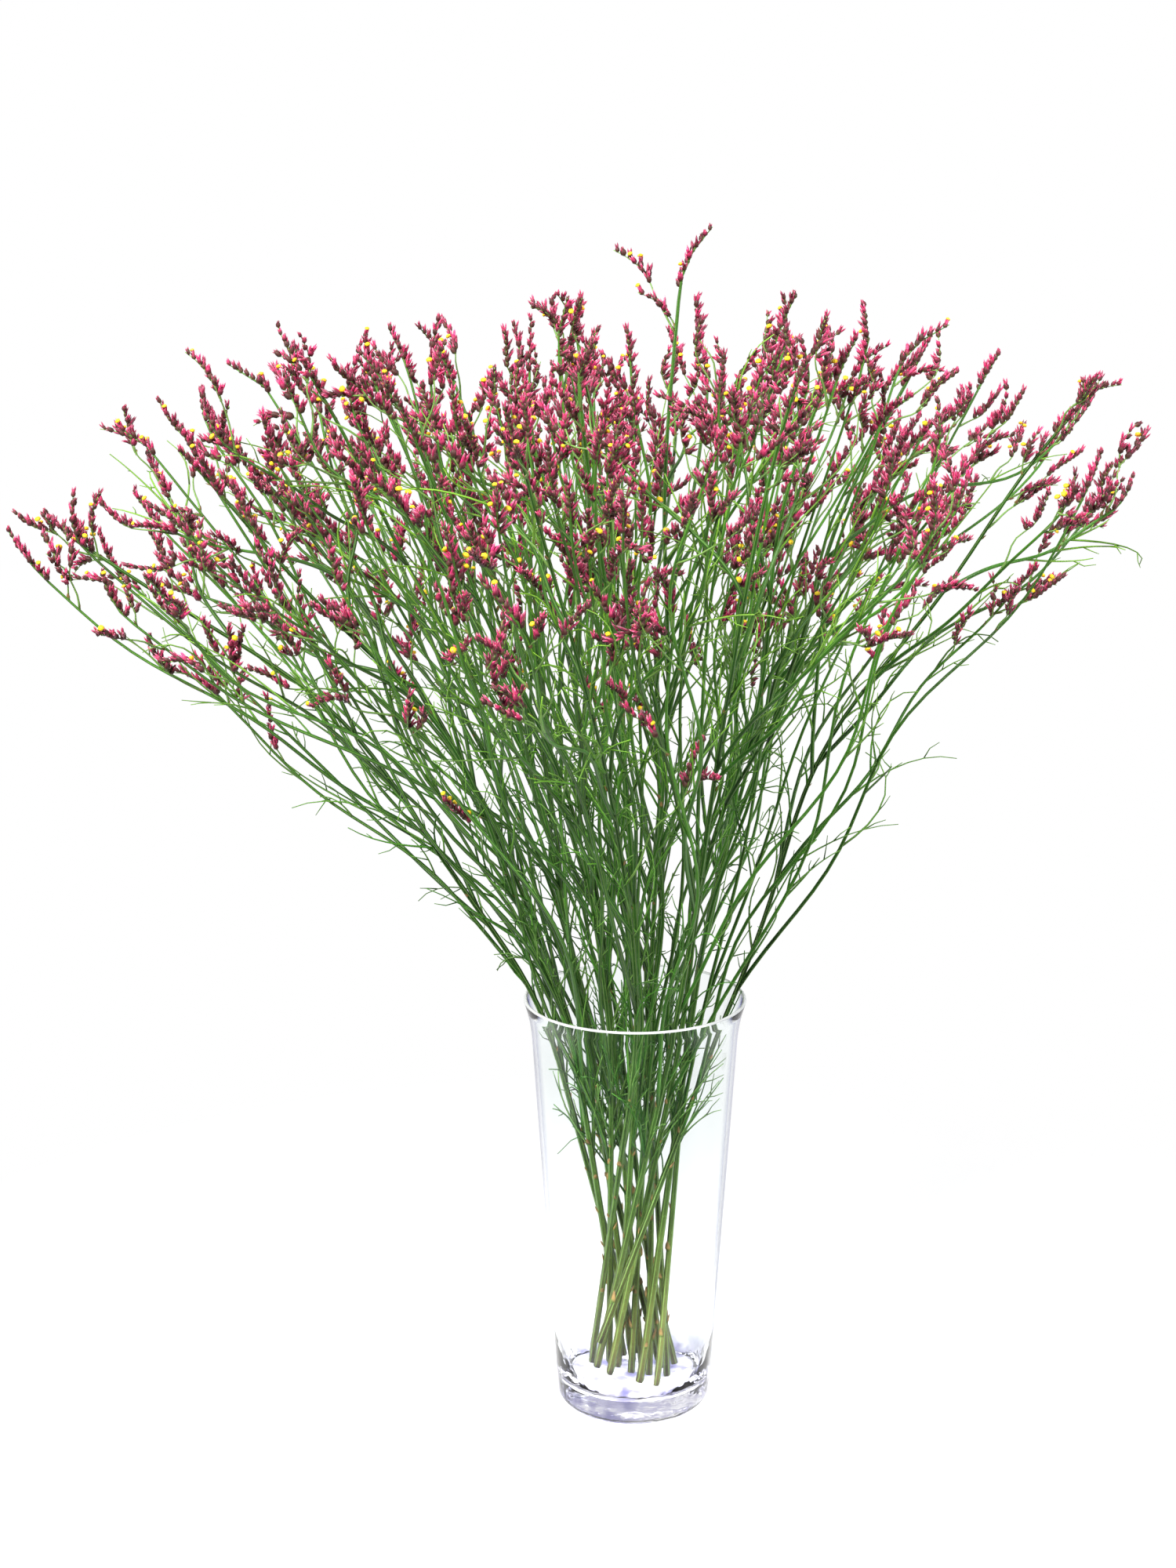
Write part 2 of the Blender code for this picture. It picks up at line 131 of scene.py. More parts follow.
# Stems, branches and twigs
STEM_RADII = (0.0022, 0.0027)
STEM_THINNING = 0.5
THINNING_CURVE = 1.3
STEM_RUNS = 6
BRANCH_RUNS = 4
BRANCH_STARTS = (0.24, 0.40, 0.55, 0.69)
BRANCH_SPREAD = math.radians(12)
BRANCH_ANGLE = math.radians(27)
BRANCH_RADIUS = 0.0017
BRANCH_TIP_DEPTHS = (0.0, 0.06)
BRANCH_RISE = 0.25
BRANCH_WANDER = 0.1
BRANCH_VARIETY = (0.8, 1.2)
BRANCH_TURN = math.radians(90)
TWIG_STARTS = (0.56, 0.78)
STEM_TWIG_STARTS = (0.80, 0.90)
TWIG_LENGTHS = (0.034, 0.058)
TWIG_ANGLE = math.radians(38)
TWIG_RADIUS = 0.0012
TWIG_THINNING = 0.75
TWIG_FOLLOW = 0.35
TWIG_RISE = 0.3
TWIG_TURN = math.radians(162)
STRAY_EVERY = 3
STRAY_START = 0.34
STRAY_LENGTHS = (0.075, 0.120)
START_JITTER = 0.03
STRAY_JITTER = 0.06

# Flower spikes
SPIKE_LENGTHS = (0.024, 0.034)
TWIG_SPIKE = 0.85
FLORET_REACH = 0.0052
SPIKE_OFFSET = 0.0016
SEED = 24

# Finer growth, drawn from seeds of its own so that the skeleton's draws stay as they are
EXTRA_SEED = 40
GREEN_SEED = 1
FLORET_SEED = 2
TIP_MARGIN = 0.006
EXTRA_BRANCH_STARTS = (0.72, 0.93, 1.10, 1.25, 1.42)
EXTRA_SPREADS = (0.35, 1.5)
EXTRA_TIP_DEPTHS = (-0.004, 0.128)
EXTRA_ANGLES = (0.35, 0.85)
EXTRA_TWIG_STARTS = (0.68, 0.86)
SIDE_SPIKE_GAPS = (0.02, 0.09)
SIDE_SPIKE_LENGTHS = (0.017, 0.030)
SIDE_SPIKE_SHARE = 0.72
SIDE_SPIKE_REACH = 0.99
TWIG_SIDE_CHANCE = 0.34
GLASS_GAP = 0.0016
GLASS_TRIES = 8

# Smooth lines
SWAYS = {"stem": 0.016, "branch": 0.042, "twig": 0.055}
CURL = 0.018
SWAY_TURNS = 1.3
LINE_POINTS = {"stem": 72, "branch": 26, "twig": 12}
LINE_SIDES = {"stem": 15, "branch": 8, "twig": 5}
ROOT_THINNING = {"stem": 0.82, "branch": 0.68, "twig": 0.60}
NECK_THINNING = {"stem": 0.70, "branch": 0.54, "twig": 0.46}
LINE_THINNING_CURVE = 0.85
RACHIS_END = 0.00022
RIB_COUNT = 5
AGES = {"stem": (0.0, 0.55), "branch": (0.42, 0.72), "twig": (0.62, 0.9)}

# Hooked twigs without flowers, and their barbs
HOOK_POINTS = 8
HOOK_SIDES = 4
HOOK_COUNTS = {"stem": 23, "branch": 4}
HOOK_RANGES = {"stem": (0.60, 1.62), "branch": (0.06, 0.66)}
HOOK_CROWDING = 0.7
HOOK_LENGTHS = (0.022, 0.072)
HOOK_BENDS = (-1.4, 2.4)
HOOK_ANGLES = (0.22, 0.68)
HOOK_WANDER = 0.5
HOOK_EASING = 0.75
HOOK_RADII = (0.00070, 0.00030)
HOOK_AGE_HEIGHTS = (0.12, 0.50)
HOOK_AGES = (0.34, 0.86)
HOOK_TIP_AGE = 0.1
DROOP_HEIGHT = 0.23
DROOP_LENGTH = 1.35
BARB_PLACES = (0.40, 0.72)
BARB_LENGTHS = (0.005, 0.016)
BARB_SHARE = 0.4
BARB_ANGLES = (0.5, 1.0)
BARB_BENDS = (-0.4, 1.0)
BARB_RADII = (0.00046, 0.00022)
BARB_TIP_AGE = 0.15
BARB_POINTS = 3
BARB_SIDES = 3

# Bracts, their rings as (height in lengths, radius in half widths)
BRACT_RINGS = ((0.0, 0.45), (0.3, 1.0), (0.7, 0.7), (1.0, 0.06))
BRACT_SIDES = 5
BRACT_LENGTH = 0.0036
BRACT_HALF_WIDTH = 0.0010
BRACT_FLAT = 0.35
BRACT_LEAN = 0.30
BRACT_STEP = 0.001
BRACT_SINK = 0.85
BRACT_SIZES = (0.6, 1.25)
STEM_BRACT_PITCH = 0.042
STEM_BRACT_RANGE = (0.15, 1.9)
STEM_BRACT_JITTER = 0.03
LOW_BRACT_HEIGHTS = (0.03, 0.22)
LOW_BRACT_SIZES = (2.1, 1.0)

# Florets along a spike
FLORET_PITCH = 0.0031
LEAST_FLORETS = 4
FIRST_FLORET = 0.35
RANK_ANGLE = math.radians(38)
RANK_VARIETY = (0.4, 1.4)
FLORET_LEANS = (0.55, 0.95)
LEAN_VARIETY = (0.8, 1.2)
END_LEAN = 0.5
FLORET_SIZES = (0.82, 1.16)
END_SIZE = 0.72
ROLL = 0.6

# One floret, its rings as (height in lengths, radius in half widths)
CALYX_RINGS = ((0.0, 0.3675), (0.14, 1.05), (0.36, 1.05), (0.70, 0.04))
CALYX_SIDES = 4
CALYX_BEND = 0.1
LOBE_RINGS = ((0.12, 0.25), (0.48, 0.55), (0.76, 0.48), (1.0, 0.04))
LOBE_SIDES = 3
LOBE_BEND = 0.06
LOBE_SPREAD = math.radians(15)
LOBE_LEANS = ((0.5, 0.0), (-0.4, 1.0), (-0.4, -1.0))
LOBE_SIZES = (1.0, 0.86, 0.92)
FLORET_FLAT = 0.85
BUD_SHARE = 0.4
BUD_SIZE = 0.74
TIP_RINGS = ((0.78, 0.35), (0.84, 0.95), (0.96, 0.95), (1.04, 0.3))
TIP_SIDES = 6
OPEN_FALLOFF = 0.7

# Colour ramps: where a material's own colours stand, and (place, shade) stops
WHITE = (1.0, 1.0, 1.0)
BLACK = (0.0, 0.0, 0.0)
STEM_PLACES = (0.0, 0.03, 0.16, 0.42, 0.72, 1.0)
STEM_SHADES = ((0.25, (0.30, 0.33, 0.30)), (0.6, (0.95, 0.95, 0.9)), (1.0, (1.75, 1.68, 1.5)))
STEM_TONE_SHARE = 0.5
STEM_PATCH_SHARE = 0.9
# Painted highlight in part: how far the rib tops are mixed towards pale green
RIB_HIGHLIGHT_SHARE = 0.6
FLECK_STOPS = ((0.62, BLACK), (0.72, WHITE))
FLECK_SHARE = 0.25
BRACT_PLACES = (0.0, 0.4, 1.0)
BRACT_SHADES = ((0.0, (0.6, 0.6, 0.6)), (1.0, (1.3, 1.3, 1.3)))
CALYX_PLACES = (0.0, 0.22, 0.75, 1.0)
CALYX_SHADES = ((0.3, (0.55, 0.55, 0.55)), (0.75, (1.5, 1.45, 1.45)))
FLUSHED_PLACES = (0.0, 0.3, 0.8, 1.0)
FLUSHED_STOPS = ((0.6, BLACK), (0.95, WHITE))
PETAL_PLACES = (0.0, 0.4, 0.75, 1.0)
PETAL_SHADES = (
    (0.0, (0.42, 0.36, 0.40)),
    (0.35, (0.9, 0.85, 0.9)),
    (0.8, (1.25, 1.3, 1.25)),
    (1.0, (1.5, 2.2, 1.8)),
)
# Painted highlight and shade in part: noise streaks that make the petals paler in places and darker in others
STREAK_HIGHLIGHT_SHADES = ((0.35, (0.6, 0.5, 0.55)), (0.7, (1.45, 1.7, 1.55)))
TIP_PLACES = (0.0, 0.55)

# Sockets of the node that mixes two colours
MIX_FACTOR = 0
MIX_COLOURS = (6, 7)
MIX_RESULT = 2

# Glass
GLASS_GLOSS = (0.25, 0.25, 0.27, 1.0)
BASE_SHADE_HEIGHT = 0.04
BASE_STOPS = ((0.4, WHITE), (1.0, BLACK))
# Painted refraction: the noise patches in the thick base run from lilac to clear between these places
PATCH_PLACES = (0.40, 0.56)
CLEAR_PATCH = (0.96, 0.96, 0.98)
# Edge on, the glass is tinted: partly its own tint through a longer path, partly a painted reflection
EDGE_PLACES = (0.70, 0.89)
WAVE_SHARE = 0.12

# Floor and sky
FLOOR_RADII = (0.3, 1.0, 3.0, 9.0)
FLOOR_SIDES = 64
FLOOR_DROP = 0.0004
FLOOR_GRAIN = ((0.3, (0.985, 0.985, 0.985)), (0.7, WHITE))
FRONT_FLOOR_PLACES = (0.82, 0.91)
FRONT_SKY_PLACES = (0.3, 0.68)
BAND_PLACES = (0.80, 0.93, 1.0)
LOW_SKY_STOPS = ((0.25, WHITE), (0.6, BLACK))

# Lights and camera
KEY_PLACE = (-1.1, -1.5, 2.0)
KEY_SIZE = 0.9
KEY_COLOUR = (1.0, 0.985, 0.96)
FILL_PLACE = (1.6, -1.0, 1.2)
FILL_SIZE = 1.6
FILL_COLOUR = (0.97, 0.985, 1.0)
KEY_TO_FILL = 3
LIGHT_TARGET = (0.0, 0.0, 0.4)
CAMERA_PLACE = (-0.027, -1.59, 0.775)
CAMERA_TARGET = (-0.027, 0.0, 0.376)
CAMERA_LENS = 66.6
CAMERA_SENSOR = 36.0
CAMERA_NEAREST = 0.01


def unit(vector):
    """The vector made one long."""
    return vector / np.linalg.norm(vector)


def turned(vector, axis, angle):
    """The vector turned by the angle about the unit axis, by Rodrigues' formula."""
    kept = axis * (axis @ vector)
    return kept + (vector - kept) * math.cos(angle) + np.cross(axis, vector) * math.sin(angle)


def along(chain, t):
    """Points at t on a chain of cubic Bezier stretches, the first from t = 0 to 1, the next from 1 to 2."""
    t = np.asarray(t, float)
    stretch = np.minimum(t.astype(int), len(chain) - 1)
    u = (t - stretch)[:, None]
    p = chain[stretch]
    near = (1 - u) ** 3 * p[:, 0] + 3 * (1 - u) ** 2 * u * p[:, 1]
    return near + 3 * (1 - u) * u**2 * p[:, 2] + u**3 * p[:, 3]


def direction(chain, t):
    """The unit direction of the chain at t, towards its tip."""
    ends = along(chain, [max(t - DIRECTION_STEP, 0.0), min(t + DIRECTION_STEP, len(chain))])
    return unit(ends[1] - ends[0])


def last_length(chain):
    """The length of the chain's last stretch."""
    points = along(chain, np.linspace(len(chain) - 1, len(chain), LENGTH_TESTS))
    return np.linalg.norm(np.diff(points, axis=0), axis=1).sum()


def dome_direction(angle, turn):
    """A direction from the lip's centre, at an angle from the dome's own axis, which leans to -X."""
    x = math.sin(angle) * math.cos(turn)
    y = math.sin(angle) * math.sin(turn) * DOME_DEPTH
    return turned(unit(np.array([x, y, math.cos(angle)])), np.array([0.0, 1.0, 0.0]), DOME_TILT)


def inside_dome(point):
    """Whether the point, seen from the lip's centre, is within the dome's edge."""
    return math.acos(unit(point - LIP_CENTRE) @ dome_direction(0.0, 0.0)) < DOME_EDGE


def dome_point(way, depth):
    """The point in the direction that is depth under the dome, which is lower at its crown and its back."""
    crown = CROWN_DROP * max(0.0, (way[2] - CROWN_EDGE) / (1 - CROWN_EDGE))
    back = BACK_DROP * max(0.0, way[1])
    return LIP_CENTRE + way * (DOME_RADIUS - crown - back - depth)


class Shoot:
    """A stem, branch or twig as its solid has it: its line, points and thickness, and its spike's end."""

    def __init__(self, chain, runs, root_radius, neck_radius, spike_length):
        self.chain = chain
        self.spike_length = spike_length
        self.neck = len(chain) - spike_length / last_length(chain)
        self.stations = np.linspace(len(chain) - 1, self.neck, runs + 1)
        if len(chain) == 2:
            self.stations = np.insert(self.stations, 0, 0.0)
        self.points = along(chain, self.stations)
        self.radii = root_radius + (neck_radius - root_radius) * (self.stations / self.neck) ** THINNING_CURVE
        self.tip = along(chain, [len(chain)])[0]

    def point_at(self, t):
        """The point at t on the straight runs between the shoot's points, where a side shoot is rooted."""
        return np.array([np.interp(t, self.stations, self.points[:, axis]) for axis in range(3)])

    def flower_side(self):
        """The side that the florets stand out to: upwards, square to the spike."""
        way = unit(self.tip - self.points[-1])
        up = UP + self.tip
        return unit(up - way * (way @ up))

    def capsules(self):
        """Straight runs with a radius each, which the shoot's surface stays inside, its spike's last."""
        points = np.vstack([self.points, self.tip])
        radii = np.append(np.maximum(self.radii[:-1], self.radii[1:]), FLORET_REACH + SPIKE_OFFSET)
        return {"starts": points[:-1], "ends": points[1:], "radii": radii}

    def spike_capsule(self):
        """The last capsule alone, which is the spike's."""
        return {key: values[-1:] for key, values in self.capsules().items()}

    def grow_line(self, level, parent, start, rng):
        """Works out the smooth line: the Bezier curve, plus a shift that brings the root onto the parent's
        own line and fades with the square of the way left, plus a sway, sin(pi u) squared times a slow sine,
        plus a sideways curl that grows with the square of the way along the spike."""
        self.level = level
        self.ts = np.linspace(0, len(self.chain), LINE_POINTS[level])
        points = along(self.chain, self.ts)
        u = np.clip(self.ts - (len(self.chain) - 1), 0, 1)[:, None]
        chord = points[-1] - points[0]
        side = turned(unit(np.cross(chord, ANY_WAY)), unit(chord), rng.uniform(0, 2 * math.pi))
        swing = np.sin(2 * math.pi * SWAY_TURNS * u + rng.uniform(0, 2 * math.pi))
        points = points + side * SWAYS[level] * np.linalg.norm(chord) * np.sin(math.pi * u) ** 2 * swing
        if parent:
            points = points + (1 - u) ** 2 * (parent.line_at(start) - points[0])
        spike = np.clip((self.ts - self.neck) / (len(self.chain) - self.neck), 0, 1)[:, None]
        self.line = points + CURL * spike**2 * rng.uniform(-1, 1) * np.cross(side, unit(chord))

    def line_at(self, t):
        """The point at t on the smooth line."""
        return np.array([np.interp(t, self.ts, self.line[:, axis]) for axis in range(3)])

    def way_at(self, t):
        """The unit direction of the smooth line at t."""
        step = len(self.chain) / LINE_POINTS[self.level]
        return unit(self.line_at(min(t + step, len(self.chain))) - self.line_at(max(t - step, 0.0)))


def merged(groups):
    """The capsules of several groups as one group."""
    return {key: np.concatenate([group[key] for group in groups]) for key in ("starts", "ends", "radii")}


def distances(some, others):
    """The least distance between each of some straight runs and each of the others, as a table."""
    d = (some["ends"] - some["starts"])[:, None]
    e = (others["ends"] - others["starts"])[None]
    r = some["starts"][:, None] - others["starts"][None]
    a, b, c = (d * d).sum(-1), (d * e).sum(-1), (e * e).sum(-1)
    f, g = (d * r).sum(-1), (e * r).sum(-1)
    s = np.clip((b * g - c * f) / np.maximum(a * c - b * b, TINY), 0, 1)
    u = np.clip((b * s + g) / c, 0, 1)
    s = np.clip((b * u - f) / np.maximum(a, TINY), 0, 1)
    return np.linalg.norm(r + s[..., None] * d - u[..., None] * e, axis=-1)


def clear_of(some, others, margin):
    """Whether some capsules keep the margin to all the others."""
    spare = distances(some, others) - some["radii"][:, None] - others["radii"][None]
    return spare.min() > margin


def outside_radius(height):
    """The vase's outer radius: a straight taper, and a lip that flares with the square of the height."""
    slope = (NECK_RADIUS - BASE_RADIUS) / NECK_HEIGHT
    lip = np.maximum(0.0, (height - NECK_HEIGHT) / (VASE_HEIGHT - NECK_HEIGHT))
    return BASE_RADIUS + slope * height + (LIP_RADIUS - BASE_RADIUS - slope * VASE_HEIGHT) * lip**2


def glass_spare(points):
    """How far inside the vase's inner wall each point is, or a metre where it is above the lip."""
    spare = outside_radius(points[..., 2]) - WALL - np.hypot(points[..., 0], points[..., 1])
    return np.where(points[..., 2] < VASE_HEIGHT + GLASS_GAP, spare, 1.0)


def wall_gap(stem):
    """The least gap between the stem and the vase's inner wall."""
    runs = zip(stem.points[:-1], stem.points[1:])
    line = np.concatenate([np.linspace(start, end, WALL_TESTS) for start, end in runs])
    line = line[line[:, 2] < VASE_HEIGHT]
    reach = np.hypot(line[:, 0], line[:, 1]) + stem.radii[0]
    return (outside_radius(line[:, 2]) - WALL - reach).min()


def foot_of(index, reach, turn, radius, lean, swerve):
    """Where the stem is cut: on the vase's floor, turned on from where it leans, or high on the far wall."""
    if index == SHORT_STEM:
        out = outside_radius(SHORT_STEM_HEIGHT) - WALL - radius - 2 * REST_GAP
        across = turn + SHORT_STEM_TURN + swerve * SHORT_STEM_JITTER
        return np.array([out * math.cos(across), out * math.sin(across), SHORT_STEM_HEIGHT])
    out = FOOT_SPREAD * reach
    back = turn - TWIST + swerve * FOOT_JITTER
    foot = np.array([out * math.cos(back), out * math.sin(back), FLOOR_HEIGHT])
    rise = unit(lean - foot)
    foot[2] += REST_GAP + radius * math.sqrt(1 - rise[2] ** 2)
    return foot


def stem_of(index, rng):
    """A stem: straight from its foot to below the lip, then curving out over the lip to the dome."""
    reach = math.sqrt((index + 0.5) / STEM_COUNT)
    turn = FIRST_TURN + index * GOLDEN_ANGLE + rng.uniform(-TURN_JITTER, TURN_JITTER)
    radius = rng.uniform(*STEM_RADII)
    angle = DOME_ANGLE * reach + rng.uniform(-ANGLE_JITTER, ANGLE_JITTER)
    out = dome_direction(angle, turn + rng.uniform(-TIP_JITTER, TIP_JITTER))
    end = dome_direction(angle * FLARE, turn + rng.uniform(-END_JITTER, END_JITTER))
    tip = dome_point(out, -TALL_STEM_RISE if index == TALL_STEM else rng.uniform(*TIP_DEPTHS))
    swerve = rng.uniform(-1, 1)
    spread = LEAN_SPREAD
    while True:
        lean = np.array([spread * reach * math.cos(turn), spread * reach * math.sin(turn), LEAN_HEIGHT])
        foot = foot_of(index, reach, turn, radius, lean, swerve)
        third = np.linalg.norm(tip - lean) / 3
        straight = [foot, foot + (lean - foot) / 3, lean - (lean - foot) / 3, lean]
        curved = [lean, lean + unit(lean - foot) * third, tip - end * third, tip]
        chain = np.array([straight, curved])
        stem = Shoot(chain, STEM_RUNS, radius, radius * STEM_THINNING, SPIKE_LENGTHS[1])
        if wall_gap(stem) > REST_GAP:
            return stem, angle, turn
        spread -= LEAN_STEP


def side_line(parent, t, target, leave, arrive):
    """One curve from the parent's middle at t to the target, leaving one way and arriving another."""
    root = parent.point_at(t)
    third = np.linalg.norm(target - root) / 3
    return np.array([[root, root + leave * third, target - arrive * third, target]])


def branch_of(stem, t, angle, turn, side_turn, rng, spreads, depths, angles):
    """A long branch, from low on the stem to its own place in the dome, to one side of the stem's tip."""
    middle = dome_direction(angle, turn)
    out = turned(unit(np.cross(middle, ANY_WAY)), middle, side_turn)
    aim = unit(middle + out * math.tan(BRANCH_SPREAD * rng.uniform(*spreads)))
    if not inside_dome(LIP_CENTRE + aim):
        axis = dome_direction(0.0, 0.0)
        aim = turned(axis, unit(np.cross(axis, aim)), DOME_EDGE - rng.uniform(0.0, DOME_EDGE_JITTER))
    target = dome_point(aim, rng.uniform(*depths))
    way = direction(stem.chain, t)
    leave = turned(way, unit(np.cross(way, out)), BRANCH_ANGLE * rng.uniform(*angles))
    arrive = unit(aim + BRANCH_RISE * UP + BRANCH_WANDER * rng.normal(size=3))
    line = side_line(stem, t, target, leave, arrive)
    return Shoot(line, BRANCH_RUNS, BRANCH_RADIUS, TWIG_RADIUS, rng.uniform(*SPIKE_LENGTHS))


def twig_of(parent, t, lengths, runs, side_turn, rng):
    """A twig that leaves its parent at an angle and bends back towards the light."""
    way = direction(parent.chain, t)
    out = turned(unit(np.cross(way, ANY_WAY)), way, side_turn)
    leave = unit(way * math.cos(TWIG_ANGLE) + out * math.sin(TWIG_ANGLE))
    arrive = unit(leave + TWIG_FOLLOW * way + TWIG_RISE * UP)
    target = parent.point_at(t) + unit(leave + arrive) * rng.uniform(*lengths)
    line = side_line(parent, t, target, leave, arrive)
    spike = TWIG_SPIKE * rng.uniform(*SPIKE_LENGTHS)
    return Shoot(line, runs, TWIG_RADIUS, TWIG_RADIUS * TWIG_THINNING, spike)


def grow_stem(index, stem, angle, turn, others, rng):
    """The stem with what grows on its solid, as (shoot, level, parent, start), by the solid's own draws."""
    shoots = [(stem, "stem", None, 0.0)]

    def add(make, level, parent, start):
        """Turns a new shoot round its parent until it is clear of all the others, or leaves it out."""
        own = merged([shoot.capsules() for shoot, *_ in shoots])
        for attempt in range(TRIES):
            shoot = make(RETRY_TURN * attempt)
            if not inside_dome(shoot.tip) or not clear_of(shoot.capsules(), others, CLEARANCE):
                continue
            if clear_of(shoot.spike_capsule(), own, 0.0):
                shoots.append((shoot, level, parent, start))
                return

    side_turn = rng.uniform(0, 2 * math.pi)
    for start in BRANCH_STARTS:
        t = 1 + start + rng.uniform(-START_JITTER, START_JITTER)
        side_turn += BRANCH_TURN
        ranges = (BRANCH_VARIETY, BRANCH_TIP_DEPTHS, BRANCH_VARIETY)
        add(lambda more: branch_of(stem, t, angle, turn, side_turn + more, rng, *ranges), "branch", stem, t)
    for parent, *_ in list(shoots):
        starts = STEM_TWIG_STARTS if parent is stem else TWIG_STARTS
        side_turn = rng.uniform(0, 2 * math.pi)
        for start in starts:
            t = len(parent.chain) - 1 + start + rng.uniform(-START_JITTER, START_JITTER)
            t = min(t, parent.neck)
            side_turn += TWIG_TURN
            add(lambda more: twig_of(parent, t, TWIG_LENGTHS, 1, side_turn + more, rng), "twig", parent, t)
    if index % STRAY_EVERY == 0:
        t = 1 + STRAY_START + rng.uniform(-STRAY_JITTER, STRAY_JITTER)
        add(lambda more: twig_of(stem, t, STRAY_LENGTHS, 2, side_turn + more, rng), "twig", stem, t)
    return shoots


def tip_fits(shoot):
    """Whether a finer shoot's tip stays within the dome and within the solids' own box."""
    spare = np.minimum(shoot.tip - CAD_BOX[0], CAD_BOX[1] - shoot.tip).min()
    return inside_dome(shoot.tip) and spare > TIP_MARGIN


def add_finer(shoots, angle, turn, rng):
    """Adds the branches, twigs and side spikes that the solids leave out, each with its smooth line."""

    def add(make, level, parent, start):
        """Draws a new shoot until it fits in the bunch and misses the glass, or leaves it out."""
        for _attempt in range(GLASS_TRIES):
            shoot = make(rng.uniform(0, 2 * math.pi))
            shoot.grow_line(level, parent, start, rng)
            if tip_fits(shoot) and glass_spare(shoot.line).min() > GLASS_GAP:
                shoots.append(shoot)
                return shoot
        return None

    def side_spike(parent):
        """A short twig below the parent's own spike, most of it a spike too."""
        t = max(parent.neck - rng.uniform(*SIDE_SPIKE_GAPS), len(parent.chain) - SIDE_SPIKE_REACH)

        def make(side_turn):
            """The twig turned to a side, with its spike made longer."""
            shoot = twig_of(parent, t, SIDE_SPIKE_LENGTHS, 1, side_turn, rng)
            spike = SIDE_SPIKE_SHARE * last_length(shoot.chain)
            return Shoot(shoot.chain, 1, TWIG_RADIUS, TWIG_RADIUS * TWIG_THINNING, spike)

        add(make, "twig", parent, t)

    stem = shoots[0]
    ranges = (EXTRA_SPREADS, EXTRA_TIP_DEPTHS, EXTRA_ANGLES)
    for start in EXTRA_BRANCH_STARTS:
        t = start + rng.uniform(0, START_JITTER)
        branch = add(lambda side: branch_of(stem, t, angle, turn, side, rng, *ranges), "branch", stem, t)
        if not branch:
            continue
        for twig_start in EXTRA_TWIG_STARTS:
            u = min(twig_start + rng.uniform(-START_JITTER, START_JITTER), branch.neck)
            add(lambda side: twig_of(branch, u, TWIG_LENGTHS, 1, side, rng), "twig", branch, u)
    for parent in list(shoots):
        if parent.level != "twig":
            side_spike(parent)
        elif rng.uniform() < TWIG_SIDE_CHANCE:
            side_spike(parent)


@functools.cache
def plan_bunch():
    """All the stems' shoots with their smooth lines: the solids' own, then the finer ones."""
    rng = np.random.default_rng(SEED)
    stems = []
    for index in range(STEM_COUNT):
        stem, angle, turn = stem_of(index, rng)
        while stems and not clear_of(stem.capsules(), merged([s[0].capsules() for s in stems]), CLEARANCE):
            stem, angle, turn = stem_of(index, rng)
        stems.append((stem, angle, turn))
    grown = [stem.capsules() for stem, _angle, _turn in stems]
    bunch = []
    for index, (stem, angle, turn) in enumerate(stems):
        others = merged([capsules for number, capsules in enumerate(grown) if number != index])
        shoots = grow_stem(index, stem, angle, turn, others, rng)
        grown[index] = merged([shoot.capsules() for shoot, *_ in shoots])
        bunch.append(shoots)
    finished = []
    for index, (own, (_stem, angle, turn)) in enumerate(zip(bunch, stems)):
        finer = np.random.default_rng(EXTRA_SEED + index)
        for shoot, level, parent, start in own:
            shoot.grow_line(level, parent, start, finer)
        shoots = [shoot for shoot, *_ in own]
        add_finer(shoots, angle, turn, finer)
        finished.append(shoots)
    return finished


def rgb(red, green, blue):
    """The linear colour of three 8-bit screen values, by the sRGB curve."""
    values = np.array([red, green, blue]) / 255
    return tuple(np.where(values > 0.04045, ((values + 0.055) / 1.055) ** 2.4, values / 12.92))


def unit_rows(vectors):
    """Each of the vectors made one long."""
    return vectors / np.linalg.norm(vectors, axis=-1, keepdims=True)


def square_to(vectors, ways):
    """The vectors less their part along the unit ways, made unit."""
    return unit_rows(vectors - ways * (vectors * ways).sum(-1, keepdims=True))


class Surface:
    """Points with quads, triangles, a material number for each face and named values for each point."""

    def __init__(self, points, quads, triangles, slot=0, **values):
        self.points = points
        self.quads = quads
        self.triangles = triangles
        self.slots = (np.full(len(quads), slot), np.full(len(triangles), slot))
        self.values = {name: np.broadcast_to(value, len(points)) for name, value in values.items()}


def join(surfaces):
    """One surface from several that hold the same named values."""
    firsts = np.cumsum([0] + [len(surface.points) for surface in surfaces])
    whole = Surface(
        np.concatenate([surface.points for surface in surfaces]),
        np.concatenate([surface.quads + first for surface, first in zip(surfaces, firsts)]),
        np.concatenate([surface.triangles + first for surface, first in zip(surfaces, firsts)]),
    )
    whole.slots = tuple(np.concatenate([surface.slots[kind] for surface in surfaces]) for kind in (0, 1))
    names = surfaces[0].values
    whole.values = {name: np.concatenate([surface.values[name] for surface in surfaces]) for name in names}
    return whole


